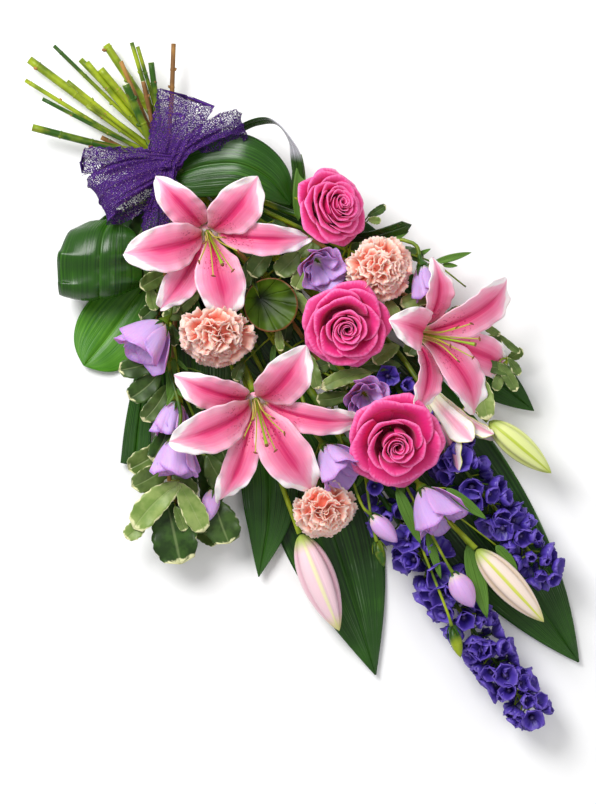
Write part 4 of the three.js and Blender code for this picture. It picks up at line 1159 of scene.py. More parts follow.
# %% [markdown]
# ## The binding
# Every stem and every leaf stalk passes the tie in rows, the longest at the bottom, as a florist lays them
# in the hand. Each has a slot of its own there, worked out from the radii in its row, so no two stems share
# a place and the rows can be changed by moving one name.

# %% Slots in the tie
# the air between two stems, and the room for the band under the lowest row
AIR = 0.3
BAND = 2.4
ALONG = np.array([-math.sin(-PLAN_TURN), math.cos(-PLAN_TURN), 0])
ACROSS = np.array([math.cos(-PLAN_TURN), math.sin(-PLAN_TURN), 0])
# the rows from the bottom up, each with its stems' radii from left to right
BUNDLE = [
    dict(rolled_leaf=1.9, round_leaf=1.9, cut_leaf=1.9, back_leaf_left=1.9, narrow_leaf=1.9,
         middle_leaf=1.9, back_leaf_middle=1.9, long_leaf=1.9, side_leaf=1.9, back_leaf_right=1.9),
    dict(pittosporum_left=2.4, carnation_low=2.2, delphinium_long=4.2, lisianthus_low=2, rose_low=3,
         delphinium_short=4),
    dict(lily_low=3.8, lisianthus_middle=2, rose_middle=3, lily_side=3.8, pittosporum_right=2.4),
    dict(lisianthus_left=2, carnation_left=2.2, pittosporum_centre=2.2, carnation_right=2.2,
         lisianthus_right=2),
    dict(galax_leaf=1.6, pittosporum_top=2.2, rose_top=3),
    dict(lily_top=3.8, arched_leaf=2, looped_leaf=2),
]
SLOT = {}
row_floor = BAND
for row in BUNDLE:
    tallest = max(row.values())
    edge = -(sum(2 * r + AIR for r in row.values()) - AIR) / 2
    for name, radius in row.items():
        SLOT[name] = (ACROSS * (edge + radius) + UP * (row_floor + tallest), radius)
        edge += 2 * radius + AIR
    row_floor += 2 * tallest + AIR
BUNDLE_TOP = row_floor
print("slots in the tie:", len(SLOT), "top of the bundle:", round(BUNDLE_TOP, 1))

# %% [markdown]
# ## A stem's route
# A stem's route is its cut end, three points in the tie, the way up through the sheaf, and its flower's
# foot, where it swells into a hip or a calyx. The stems fan out again behind the tie, and each ends in the
# pale slanting face that the knife left.

# %% Stem routes
# half the tie's length, how much longer a leaf's stalk is behind it, and how far the cut ends rise
GRIP = 13
TAIL = 14
SPREAD = 1.5
# where each stem is cut, x and y
CUT_END = dict(
    pittosporum_left=(-67, 25), carnation_low=(-144, 83), delphinium_long=(-140, 104),
    lisianthus_low=(-115, 118), rose_low=(-88, 104), delphinium_short=(-62, 119), lily_low=(-136, 34),
    lisianthus_middle=(-81, 56), rose_middle=(-81, 100), lily_side=(-67, 93), pittosporum_right=(7, 119),
    lisianthus_left=(-125, 62), carnation_left=(-100, 80), pittosporum_centre=(-46, 100),
    carnation_right=(-35, 119), lisianthus_right=(-29, 115), pittosporum_top=(-23, 79), rose_top=(-15, 98),
    lily_top=(-40, 75))


def held(name, tail=0):
    """A stem's three points in the tie, the first one that much further out behind it."""
    centre = SLOT[name][0]
    return [centre + ALONG * (GRIP + tail), centre, centre - ALONG * GRIP]


def with_tip(route, flower, tip, radius):
    """A route and its radii, with the tip's swellings: distances back from the flower's foot, and radii."""
    return route + [back_from(flower, back) for back, _ in tip], [radius] * len(route) + [r for _, r in tip]


def main_stem(name, flower, via, tip):
    """The route and radii of a stem that passes the tie."""
    centre, radius = SLOT[name]
    end = np.array([*CUT_END[name], centre[2] * SPREAD])
    grip = held(name)
    neck = back_from(flower, flower.get("neck", 24))
    ways = [np.array(p, float) for p in via]
    if not via:
        ways = [(grip[2] + neck) / 2]
        ways[0][2] = lerp(grip[2][2], neck[2], 0.2)
    return with_tip([end, (end + grip[0]) / 2, *grip, *ways, neck], flower, tip, radius)


def branch(line, at, flower, via, tip, radius):
    """The route and radii of a side branch, from a share of its main stem's length to a flower."""
    neck = back_from(flower, flower.get("neck", 12))
    return with_tip([point_on(line, at), *(np.array(p, float) for p in via), neck], flower, tip, radius)


print("a rose's way through the tie:", [point.round(1).tolist() for point in held("rose_top")])

# %% Stem rods
STEM_SKINS = [STEM, WOOD, PALE_CUT]
CUT_SKIN = STEM_SKINS.index(PALE_CUT)


def cut_face(end, near, radius):
    """The pale disc that the florist's knife left on a stem's end."""
    way = unit(end - near)
    disc = [end - way * 0.4, end + way * 0.05]
    return rod(disc, [radius * 0.86, radius * 0.8], (12, 4), None, 0.5, CUT_SKIN)


def knots(end, grip, radius, tint, skin):
    """Swollen joints with the stub of a cut shoot, between a stem's cut end and the tie."""
    draw = seeded(int(abs(end[0]) * 7 + end[1] * 13))
    way, made = unit(grip - end), []
    side = unit(np.cross(way, UP))
    share = draw(0.03, 0.3)
    while share < 0.7:
        seat = end + (grip - end) * share
        out = side * draw(-1, 1) + UP * 0.5
        joint = [seat - way * 2.6, seat, seat + way * 2.6]
        made.append(rod(joint, [radius * 0.8, radius * 1.18, radius * 0.8], (10, 6), None, tint + 0.1, skin))
        stub = [seat, seat + out * radius + way, seat + out * radius * 1.6 - way * 1.6]
        radii = [radius * 0.6, radius * 0.5, radius * 0.35]
        made.append(rod(stub, radii, (6, 5), None, draw(0, 1), draw(0, 1) // 0.6))
        share += draw(0.16, 0.4)
    return made


def stem_rods(route, radii, tint, skin=0, cut=True, rings=64):
    """A stem in its own colour; one that reaches out of the tie has knots and a pale cut end."""
    if not cut:
        return [rod(route, radii, (12, rings), None, tint, skin)]
    end, near, grip = (np.array(p, float) for p in route[:3])
    tint = seeded(int(abs(end[0]) * 31 + end[1] * 17))(0, 0.9)
    stem = rod(route, radii, (12, rings), None, tint, skin)
    return [stem, cut_face(end, near, radii[0]), *knots(end, grip, radii[0], tint, skin)]


print("stem skins:", [skin.name for skin in STEM_SKINS])

# %% [markdown]
# ## Stems of roses, carnations, lilies and delphinium
# A rose's stem ends in a hip with five sepals folded back, a carnation's in a long toothed calyx. A lily's
# stem branches to its buds. The sepals are blades like the petals, only narrow and green.


# %% Sepals and small leaves
def sepals(flower, length, width, lean, start, low, spin=0):
    """Five narrow sepals about a flower's foot, low under it."""
    line = petal_line(length, lean, 1, start, 12)
    blades = []
    for i in range(5):
        def place(s, t):
            r, h, _ = line(s)
            half = width / 2 * outline(s, 0.35, 0.9, 0.06)
            return radial(72 * i + spin, r + 0.2 * half * t * t, t * half, h + low)
        blades.append(bent((4, 10), place, stance(flower), 0.2))
    return blades


def small_leaf(seat, heading, rise, length, width, tint=0.3, skin=4):
    """A narrow pointed leaf that droops a little to its tip."""
    def place(s, t):
        half = width / 2 * outline(s, 0.6, 0.8, 0.05)
        return np.stack([s * length, t * half, 0.25 * t * t * half - 0.12 * length * s * s], -1)
    return bent((6, 12), place, lying(seat, heading, rise), tint, skin)


def laid_leaf(x0, y0, x1, y1, width, z, skin=4):
    """A small leaf from a foot to a tip, which is a little longer because it droops."""
    length = math.hypot(x1 - x0, y1 - y0) * 1.03
    return small_leaf((x0, y0, z), heading_to(x1 - x0, y1 - y0), 8, length, width, 0.5, skin)


print("sepals and small leaves ready")

# %% Rose and carnation stems
ROSE_HIP = [(14, 3.4), (9, 5.5), (6, 8), (0.6, 9)]
for name, flower in ROSES.items():
    blades = sepals(flower, 30, 9, (60, 100), 7, -2, spin=20)
    if name == "rose_top":
        blades.append(laid_leaf(133, -62, 136, 2, 13, 60, len(STEM_SKINS)))
    rods = stem_rods(*main_stem(name, flower, [], ROSE_HIP), 0.15)
    piece(name + "_stalk", [name + "_stem"], [*STEM_SKINS, YOUNG_LEAF], blades, rods, 0.6)

CARNATION_CALYX = [(20, 3.2), (15, 5), (6, 6.2), (0.5, 6)]
for name, flower in CARNATIONS.items():
    blades = sepals(flower, 9, 7, (10, 24), 5.4, -2)
    rods = stem_rods(*main_stem(name, flower, flower.get("via", []), CARNATION_CALYX), 0.4)
    piece(name + "_stalk", [name + "_stem"], STEM_SKINS, blades, rods, 0.5)

# %% Lily and delphinium stems
BUD_STALK = 2.6
# each side branch's share of the stem, its flower and its way there
LILY_SIDE = {
    "lily_top": [],
    "lily_low": [(0.7, LILY_BUDS["lily_pink_bud"], [(96, -270, 26)])],
    "lily_side": [
        (0.75, HALF_OPEN, [(236, -196, 30)]),
        (0.72, LILY_BUDS["lily_green_bud"], [(270, -200, 24)]),
        (0.7, LILY_BUDS["lily_cream_bud"],
         [(166, -150, 17), (206, -232, 24), (234, -292, 34), (268, -346, 42)]),
    ],
}
for name, side in LILY_SIDE.items():
    route, radii = main_stem(name, LILIES[name], [], [(0.3, SLOT[name][1])])
    rods = stem_rods(route, radii, 0.35)
    for at, flower, via in side:
        twig = branch(route, at, flower, via, [(0.3, BUD_STALK + 0.6)], BUD_STALK)
        rods += stem_rods(*twig, 0.5, cut=False, rings=40)
    piece(name + "_stalk", [name + "_stem"], STEM_SKINS, rods=rods)

for name, spike in DELPHINIUM.items():
    way = unit(np.array(spike["end"], float) - np.array(spike["start"], float))
    flower = dict(foot=spike["start"], toward=heading_to(way[0], way[1]),
                  tilt=math.degrees(math.acos(way[2])), neck=40)
    rods = stem_rods(*main_stem(name, flower, [], [(0.3, SLOT[name][1])]), 0.1)
    piece(name + "_stalk", [name + "_stem"], STEM_SKINS, rods=rods)

# %% [markdown]
# ## Lisianthus sprays
# A lisianthus stem forks again and again. Each flower has five thread-like sepals, a closed bud is a wound
# spindle, and small pointed leaves sit in pairs at the forks. The leaves that show in the gaps between the
# large flowers are laid one by one, because their places decide how full the sheaf looks.

# %% Lisianthus buds and leaves
LISIANTHUS_CALYX = [(8, 2.2), (3, 5.5), (0.4, 6.5)]
TWIG = 1.4
LISIANTHUS_BUDS = {
    "left": dict(foot=(48, -331, 40), tilt=84, toward=-103, size=(36, 18)),
    "middle": dict(foot=(206, -357, 66), tilt=88, toward=-46, size=(38, 19)),
    "low": dict(foot=(288, -415, 68), tilt=88, toward=-59, size=(40, 24)),
    "green_middle": dict(foot=(212, -384, 66), tilt=88, toward=-74, size=(26, 10)),
    "green_low": dict(foot=(287, -469, 64), tilt=88, toward=-74, size=(32, 12)),
}
# each spray's main flower, its way there, and its side twigs with their share of the stem, flower and way
SPRAYS = {
    "lisianthus_left": ("e", [(4, -110, 34), (2, -200, 44)],
                        [(0.5, "b", []), (0.7, "d", []), (0.8, "left", [])]),
    "lisianthus_middle": ("g", [(80, -140, 26), (130, -220, 36)], [(0.66, "c", [(165, -218, 44)])]),
    "lisianthus_low": ("h", [(100, -130, 16), (200, -256, 26)],
                       [(0.7, "middle", []), (0.86, "low", []), (0.8, "green_middle", []),
                        (0.84, "green_low", [])]),
    "lisianthus_right": ("i", [(80, -32, 29), (170, -70, 31)], [(0.42, "a", [(125, -88, 37)])]),
}
SPRAY_SKINS = [STEM, WOOD, PALE_CUT, LISIANTHUS_SKIN, YOUNG_LEAF]
LILAC = SPRAY_SKINS.index(LISIANTHUS_SKIN)
# foot x and y, tip x and y, width and height
SPRAY_LEAVES = {
    "lisianthus_right": [
        (269, -104, 306, -94, 7.5, 52), (278, -106, 293, -107, 5, 50), (250, -98, 266, -90, 5, 46)],
    "lisianthus_middle": [
        (168, -328, 145, -339, 13, 50), (150, -300, 130, -318, 10, 46)],
    "lisianthus_low": [
        (232, -330, 255, -384, 13, 62), (281, -330, 320, -360, 11, 70), (303, -387, 322, -458, 18, 58),
        (332, -388, 353, -412, 11, 50), (262, -372, 276, -420, 9, 58), (228, -300, 240, -336, 9, 50)],
    "lisianthus_left": [
        (8, -200, 2, -240, 9, 44), (18, -262, 30, -296, 9, 40)],
}
SPRIG_TWIG = [(196, -76, 42), (235, -92, 48), (269, -104, 52), (302, -128, 46)]


def leaf_pair(line, at, length=24, width=6, apart=38):
    ahead = point_on(line, min(at + 0.02, 1)) - point_on(line, max(at - 0.02, 0))
    heading = heading_to(ahead[0], ahead[1])
    return [small_leaf(point_on(line, at), heading + side * apart, 18, length, width) for side in (1, -1)]


def side_twig(route, at, label, via):
    """A twig from the main stem to an open flower or a closed bud, as its blades and rods."""
    rods = []
    if label in LISIANTHUS:
        twig = branch(route, at, LISIANTHUS[label], via, LISIANTHUS_CALYX, TWIG)
        blades = sepals(LISIANTHUS[label], 16, 3.2, (50, 30), 4, -1.5)
    else:
        closed = LISIANTHUS_BUDS[label]
        twig = branch(route, at, {**closed, "foot": back_from(closed, -0.1)}, via, [(0.2, 2)], TWIG)
        blades = sepals(closed, 13, 2.6, (34, 8), 3, -1)
        skin = 0 if label.startswith("green") else LILAC
        rods.append(bent((18, 16), bud(*closed["size"], 2.5), stance(closed), 0.3, skin))
    rods += stem_rods(*twig, 0.7, cut=False, rings=30)
    return blades + leaf_pair(twig[0], 0.5, 18, 4.5), rods


print("closed lisianthus buds:", len(LISIANTHUS_BUDS))

# %% Lisianthus sprays
for name, (main, via, side) in SPRAYS.items():
    route, radii = main_stem(name, LISIANTHUS[main], via, LISIANTHUS_CALYX)
    rods = stem_rods(route, radii, 0.55)
    blades = sepals(LISIANTHUS[main], 16, 3.2, (50, 30), 4, -1.5)
    blades += leaf_pair(route, 0.72) + leaf_pair(route, 0.88, 20, 5)
    for twig in side:
        twig_blades, twig_rods = side_twig(route, *twig)
        blades += twig_blades
        rods += twig_rods
    for leaf in SPRAY_LEAVES[name]:
        foot = np.array([leaf[0], leaf[1], leaf[5]], float)
        joint = nearest(route, foot, 40)
        blades.append(laid_leaf(*leaf))
        rods.append(rod([joint, (joint + foot) / 2 - UP * 2, foot], [1.1, 0.9, 0.8], (6, 10), None, 0.6))
    if name == "lisianthus_right":
        rods.append(rod(SPRIG_TWIG, [1.2, 1.0, 0.8], (6, 16), None, 0.6))
    piece(name + "_spray", [name + "_stems"], SPRAY_SKINS, blades, rods, 0.4)

# %% [markdown]
# ## Large leaves
# The fan behind the flowers is made of aspidistra leaves: long blades with veins side by side, a channel on
# the midrib and a slow wave at the margin. One is rolled under itself and pinned, one arches over the roses,
# and one is cut to a strip and looped. Each blade follows its own route, at the width of an outline.

# %% A leaf's blade
# the least height of a leaf's middle, a roll that doesn't turn it, and the point of an end cut square
LEAF_HALF = 0.65
UNROLLED = (0, 0, 1)
CUT = 1000


def leaf_blade(route, width, rise=0.6, fall=0.6, least=0.02, roll=UNROLLED, side=None, arch=0, wave=0,
               waves=2, pleat=0.12, point=4):
    """A blade along a route; side is the way its width points, and a high point leaves its end square."""
    line = spline(route)
    chord = np.array(route[-1], float) - np.array(route[0], float)
    level = unit(np.array(side, float)) if side else unit(np.cross(chord, UP))

    def place(s, t):
        way = heading_of(line, s)
        across = unit(level - way * (way @ level)[:, None])
        turn = np.radians(lerp(roll[0], roll[1], s ** roll[2]))[:, None]
        across = across * np.cos(turn) + np.cross(way, across) * np.sin(turn)
        above = np.cross(across, way)
        half = width / 2 * (outline(s, rise, fall, least) ** -3 + (point * (1 - s) + 0.01) ** -3) ** (-1 / 3)
        ruffle = wave * t * t * np.sin(2 * np.pi * waves * s + np.where(t > 0, 0, 1.5))
        ruffle += 0.4 * wave * np.abs(t) ** 3 * np.sin(7.3 * np.pi * waves * s / 2 + t)
        fold = -1.8 * np.exp(-(t / 0.07) ** 2) * np.minimum(half / 12, 1)
        fold += pleat * np.cos(t * 9 * np.pi) * np.minimum(half / 20, 1)
        lift = -arch * t * t * half * 0.5 + ruffle + fold
        points = line(s) + across * (t * half)[:, None] + above * lift[:, None]
        points[:, 2] = np.maximum(points[:, 2], LEAF_HALF)
        return points
    return place


print("the blade's lowest point:", LEAF_HALF)

# %% The twelve leaves
# lead is the stalk's way from the tie to the blade
LEAVES = {
    "back_leaf_left": dict(
        lead=[(2, -34, 4)], width=96, fall=0.55, wave=1,
        route=[(8, -70, 2), (19, -130, 0.6), (26, -200, 0.6), (28, -262, 1), (30, -318, 3)]),
    "back_leaf_middle": dict(
        lead=[(18, -26, 4)], width=104, fall=0.5, wave=1,
        route=[(34, -56, 2), (64, -110, 0.6), (96, -160, 0.6), (124, -204, 0.6), (146, -240, 0.6)]),
    "back_leaf_right": dict(
        lead=[(22, -14, 4)], width=78, fall=0.55, wave=1,
        route=[(56, -26, 3), (108, -52, 0.6), (164, -80, 0.6), (216, -110, 0.6), (262, -140, 4)]),
    "long_leaf": dict(
        lead=[(110, -126, 5)], width=124, fall=0.62, wave=1.5, waves=1.5,
        route=[(168, -170, 6), (225, -240, 3), (290, -328, 0.6), (356, -420, 3), (419, -509, 8)]),
    "middle_leaf": dict(
        lead=[(60, -116, 5)], width=120, rise=0.7, wave=1.5, waves=1.5, point=2.4,
        route=[(100, -208, 6), (136, -290, 3), (166, -375, 0.6), (190, -450, 4), (212, -522, 8)]),
    "narrow_leaf": dict(
        lead=[(36, -130, 5)], width=66, rise=0.6, fall=0.5, point=2.6,
        route=[(80, -244, 8), (102, -304, 9), (103, -360, 11), (93, -422, 12)]),
    "side_leaf": dict(
        lead=[(26, -22, 8.5), (90, -56, 9)], width=54,
        route=[(226, -150, 11), (270, -180, 12), (325, -216, 13), (373, -253, 14)]),
    "round_leaf": dict(
        lead=[(-12, -62, 4)], width=76, rise=0.45, fall=0.45, wave=1.5, point=8, pleat=0.04,
        route=[(-22, -124, 4), (-42, -152, 3), (-64, -182, 4), (-85, -207, 8)]),
    "cut_leaf": dict(
        lead=[(-6, -100, 5)], width=30, rise=0.2, fall=0, least=0.2, point=CUT,
        route=[(-18, -190, 8), (-24, -230, 8), (-30, -272, 8), (-33, -309, 10)]),
    "rolled_leaf": dict(
        lead=[(-14, -32, 4), (-28, -43, 4)], width=86, rise=0.4, fall=0.25, side=(1, 0.12, 0), arch=0.5,
        point=CUT,
        route=[(-44, -50, 4), (-60, -90, 3), (-66, -128, 12), (-67, -141, 34), (-66, -128, 53),
               (-66, -112, 55), (-65, -97, 62), (-62, -74, 56), (-56, -60, 44)]),
    "arched_leaf": dict(
        lead=[(16, -10, 43)], width=66, rise=0.28, fall=0.5, arch=0.3,
        route=[(8, -15, 42), (40, -6, 51), (76, -6, 60), (106, -22, 58), (126, -46, 52)]),
    "looped_leaf": dict(
        lead=[(20, -2, 40)], width=15, rise=0.1, fall=0, least=0.5, roll=(80, 46, 3), point=CUT,
        route=[(36, 10, 39), (62, 24, 38), (88, 37, 48), (110, 36, 66), (127, 14, 72), (133, -14, 62),
               (133, -44, 52), (146, -70, 46), (200, -78, 47), (247, -66, 57)]),
}
print("large leaves:", len(LEAVES))

# %% Leaf blades on their stalks
LEAF_CELLS = (28, 60)
LEAF_TONE = dict(arched_leaf=0.4, rolled_leaf=0.4, narrow_leaf=0.5, side_leaf=0.3, long_leaf=0.35,
                 middle_leaf=0.3)
for name, leaf in LEAVES.items():
    spec = {key: value for key, value in leaf.items() if key != "lead"}
    skin = dict(round_leaf=ROUND_LEAF, looped_leaf=STRIP_LEAF).get(name, DARK_LEAF)
    first, second = (np.array(p, float) for p in leaf["route"][:2])
    stalk = [*held(name, TAIL), *leaf["lead"], first, first + (second - first) * 0.35]
    rods = [rod(stalk, [SLOT[name][1]] * (len(stalk) - 1) + [0.5], (10, 40), None, 0.2, 1)]
    blades = [bent(LEAF_CELLS, leaf_blade(**spec), None, LEAF_TONE.get(name, 0.1))]
    slot = "broad_leaf" if name == "round_leaf" else "dark_leaf"
    piece(name + "_blade", [name], [skin, STEM], blades, rods, 0.8)

# %% [markdown]
# ## The galax leaf
# A galax leaf is nearly a full circle with a notch where its stalk joins. Its blank runs from the notch all
# the way round, so the map gives the angle and the distance from the stalk, and the veins fan out by
# themselves.

# %% Galax leaf
GALAX_CENTRE = np.array([106, -147, 60.0])
GALAX_RADIUS = 27
GALAX_NOTCH = 128
GALAX_POLE = np.array([-12, 8, -4.0])


def galax(s, t):
    angle = np.radians(GALAX_NOTCH + 180 + t * 174)
    rim = GALAX_RADIUS * np.stack([np.cos(angle), np.sin(angle), 0 * angle], -1)
    frill = 1.2 * s ** 3 * np.sin(9 * np.radians(t * 172)) - 0.5 * s * np.abs(np.cos(4.5 * np.pi * t))
    flat = GALAX_POLE + (rim - GALAX_POLE) * np.maximum(s, 0.015)[:, None]
    return flat + UP * (9 * s ** 1.5 + frill)[:, None] + GALAX_CENTRE


joint = GALAX_CENTRE + GALAX_POLE
stalk = [*held("galax_leaf", TAIL), (30, -52, 50), (84, -120, 50), joint - UP * 3, joint]
piece("galax_blade", ["galax_leaf"], [GALAX, STEM], [bent((72, 16), galax, None, 0.5)],
      [rod(stalk, [1.6] * 5 + [1.2, 0.8], (10, 40), None, 0.2, 1)], 0.7)

# %% [markdown]
# ## Pittosporum
# Sprays of pittosporum fill the gaps. The small leaves sit on alternate sides of a woody twig, most of them
# near its tip, each a little different in size and turn. The draws are seeded, so each run grows the same
# twig. The leaves that show between the flowers are laid one by one, like the lisianthus leaves.

# %% Pittosporum places
PITTOSPORUM = {
    "pittosporum_left": dict(
        tip=(25, -374, 36), via=[(8, -130, 20), (4, -250, 24), (4, -330, 32)], count=12, first=0.72,
        leaf=46, seed=3),
    "pittosporum_centre": dict(
        tip=(168, -222, 50), via=[(46, -60, 42), (96, -120, 40)], count=8, first=0.46, leaf=34, seed=5),
    "pittosporum_right": dict(
        tip=(346, -200, 40), via=[(110, -56, 17), (220, -124, 26), (290, -162, 38)], count=12, first=0.5,
        leaf=36, seed=9),
    "pittosporum_top": dict(
        tip=(-12, -172, 44), via=[(6, -60, 44), (0, -110, 46)], count=8, first=0.56, leaf=34, seed=13),
}
# the leaves that show between the flowers: foot x and y, tip x and y, width, darkness and height; the deep
# tone is partly painted shade for the gaps
SHOWING = {
    "pittosporum_left": [
        (15, -324, -31, -369, 28, 0.1, 52), (-20, -360, -40, -380, 18, 0.2, 44),
        (13, -325, 37, -373, 24, 0.15, 54), (9, -349, 19, -373, 12, 0.5, 48),
        (0, -343, 13, -405, 46, 0.95, 38), (49, -343, 63, -385, 35, 0.9, 36),
        (41, -297, 65, -336, 25, 0.8, 40), (-2, -200, -46, -212, 22, 0.9, 36),
        (-6, -214, -36, -240, 24, 0.9, 34), (2, -226, -22, -262, 20, 0.8, 34),
        (30, -300, 20, -340, 20, 0.9, 34), (34, -212, 36, -250, 18, 0.9, 30),
        (36, -296, 48, -350, 26, 0.95, 30), (50, -278, 68, -322, 24, 0.9, 32),
        (4, -262, -14, -302, 20, 0.95, 32)],
    "pittosporum_top": [
        (-16, -127, -11, -151, 12, 0.3, 44), (34, -133, 12, -153, 14, 0.5, 44),
        (24, -158, -3, -157, 12, 0.7, 42), (-3, -125, -33, -113, 14, 0.8, 40),
        (-4, -44, -34, -86, 26, 1.0, 28), (-4, -138, -20, -142, 14, 0.4, 42),
        (6, -166, 9, -187, 10, 0.9, 44), (0, -160, -12, -186, 16, 0.9, 38),
        (40, -120, 20, -140, 16, 0.8, 40)],
    "pittosporum_centre": [
        (106, -92, 86, -116, 21, 0.7, 56), (134, -94, 112, -115, 22, 0.55, 58),
        (141, -108, 131, -130, 17, 0.2, 60), (124, -130, 143, -154, 12, 0.1, 54),
        (86, -98, 77, -130, 14, 0.8, 50), (147, -84, 135, -97, 12, 0.3, 56),
        (113, -169, 116, -192, 9, 0.2, 50), (78, -204, 70, -222, 12, 0.8, 48),
        (143, -194, 153, -230, 14, 0.5, 50), (178, -127, 196, -110, 14, 0.2, 56),
        (235, -187, 209, -203, 17, 0.4, 52), (237, -207, 188, -209, 16, 0.8, 46),
        (208, -214, 158, -228, 16, 0.25, 50), (184, -236, 153, -242, 16, 0.6, 46),
        (140, -216, 164, -206, 14, 0.7, 44), (120, -200, 130, -226, 16, 0.9, 40),
        (108, -60, 128, -86, 18, 0.9, 40), (96, -52, 74, -70, 16, 0.8, 44),
        (118, -84, 100, -70, 14, 0.6, 46)],
    "pittosporum_right": [
        (276, -138, 237, -146, 15, 0.15, 56), (222, -140, 237, -170, 17, 0.2, 58),
        (264, -154, 242, -163, 11, 0.4, 56), (306, -210, 322, -260, 22, 0.2, 56),
        (308, -206, 348, -214, 13, 0.8, 50), (334, -204, 352, -232, 12, 0.6, 52),
        (340, -212, 332, -232, 11, 0.4, 48), (344, -200, 356, -216, 9, 0.7, 50),
        (313, -160, 336, -176, 8, 0.6, 44), (336, -176, 356, -194, 7, 0.7, 42),
        (282, -276, 274, -306, 17, 0.7, 44), (203, -57, 221, -47, 9, 0.9, 48),
        (203, -60, 216, -62, 8, 0.1, 50), (240, -88, 258, -100, 12, 0.9, 44),
        (256, -172, 244, -196, 18, 0.8, 44)],
}
print("leaves laid by hand:", sum(len(leaves) for leaves in SHOWING.values()))


# %% Pittosporum leaves
def oval_leaf(seat, heading, rise, roll, length, width, tint):
    """A blunt leaf with a scalloped margin; its bow and its wave follow from its tint and heading."""
    bow = 0.05 * length * math.sin(23 * tint + heading)

    def place(s, t):
        half = width / 2 * outline(s, 0.6, 0.36, 0.04)
        side = np.where(t > 0, 0, 2)
        wave = 0.03 * length * t * t * np.sin(5 * np.pi * s + 9 * tint + side)
        scallop = 1 + 0.05 * np.abs(t) ** 4 * np.sin(11 * np.pi * s + side)
        height = 0.22 * np.abs(t) * half - s * s * length * 0.12 + wave
        return np.stack([s * length, t * half * scallop + bow * np.sin(np.pi * s), height], -1)
    return bent((10, 16), place, lying(seat, heading, rise, roll), tint)


def sprig(line, spec):
    """The leaves that grow along one twig, in the order in which its draws are made."""
    draw = seeded(spec["seed"])
    blades = []
    for i in range(spec["count"]):
        s = lerp(spec["first"], 0.985, (i + 0.3) / spec["count"])
        way = point_on(line, s + 0.01) - point_on(line, s - 0.01)
        side = 1 if i % 2 else -1
        spread = lerp(draw(50, 75), draw(10, 30), i / spec["count"])
        rise = draw(-4, 6) if i % 4 < 2 else draw(20, 32)
        length = spec["leaf"] * draw(0.9, 1.15) * lerp(1, 0.5, i / spec["count"])
        width = length * draw(0.5, 0.62)
        blades.append(oval_leaf(point_on(line, s), heading_to(way[0], way[1]) + side * spread, rise,
                                side * draw(5, 20), length, width, 0.45 + i * 0.37 % 0.5))
    return blades


print("leaves on the twigs:", sum(spec["count"] for spec in PITTOSPORUM.values()))


# %% Pittosporum sprays
def showing(line, leaves, draw):
    """Leaves from their foot to their tip, each on a shoot from the nearest point of the twig."""
    blades, rods = [], []
    for x0, y0, x1, y1, width, dark, z in leaves:
        foot = np.array([x0, y0, z], float)
        heading, reach = heading_to(x1 - x0, y1 - y0), math.hypot(x1 - x0, y1 - y0) * 1.04
        blades.append(oval_leaf(foot, heading, draw(0, 14), draw(-14, 14), reach, width, dark))
        joint = nearest(line, foot, 60)
        ahead = unit(np.array([x1 - x0, y1 - y0, 0.0]))
        middle = (joint + foot) / 2 - UP * 3 - ahead * 0.1 * np.linalg.norm(foot - joint)
        rods.append(rod([joint, middle, foot + ahead * 1.5], [1.1, 0.9, 0.7], (6, 10), None, 0.6, 3))
    return blades, rods


for name, spec in PITTOSPORUM.items():
    route, radii = main_stem(name, dict(foot=spec["tip"], neck=30), spec["via"], [(0, 1.2)])
    blades, rods = showing(route, SHOWING[name], seeded(spec["seed"] + 1))
    piece(name + "_sprig", [name], [SAGE_LEAF, WOOD, PALE_CUT, STEM],
          sprig(route, spec) + blades, stem_rods(route, radii, 0.4, skin=1) + rods, 0.5)

# %% [markdown]
# ## The ribbon
# The ribbon is sinamay, an open net of stiff fibres that cross at random, with a few gold ones. The net is
# in the material, as holes drawn in its alpha, because real fibres would be thousands of hair-thin tubes.
# Its UV map is in real millimetres, so the mesh has one size everywhere. The strips are gathered at the
# knot.

# %% Net finish
# each family's turn in degrees, its fibres to the millimetre, and their half width as a share of the gap
NET_FAMILIES = [(8, 0.42, 0.12), (52, 0.38, 0.11), (97, 0.42, 0.12), (141, 0.36, 0.11)]


def fibres(u, v, turn, count, width):
    """One family of fibres: the thin lines where a wavy, turned pattern passes its middle."""
    c, n = compass(turn)
    along, across = u * c + v * n, v * c - u * n
    bend = noise(joined(along * 0.16, across * 0.16, turn), 1, 1)
    near = calc("ABSOLUTE", calc("FRACT", across * count + bend * 5) - 0.5)
    return fade_out(near, width, width + 0.08)


def paint_net(tree):
    """The tint closes the net: over 0.4 the fibres run together, as in the knot's folds."""
    u, v, tint = blade_map(tree)
    families = [fibres(u, v, turn, count, tint * 0.25 + width) for turn, count, width in NET_FAMILIES]
    net = functools.reduce(lambda a, b: calc("MAXIMUM", a, b), families)
    spot = noise(joined(u * 0.9, v * 0.9), 1, 1)
    colour = coats("280a4e",
                   (fade(spot, 0.35, 0.7), "5e3090"),
                   (families[-1] * fade(spot, 0.62, 0.68), "a0844a"))
    solid = calc("MAXIMUM", net, fade(tint, 0.4, 1.0))
    return dict(colour=colour, height=net, relief=0.6, alpha=solid)


NET = finish("open weave ribbon", paint_net, 0.8, Specular_IOR_Level=0.2)

# %% Pleats and real scale
KNOT = np.array([0, 0, BUNDLE_TOP + 8.6])
PLEAT_DEPTH = 2.6
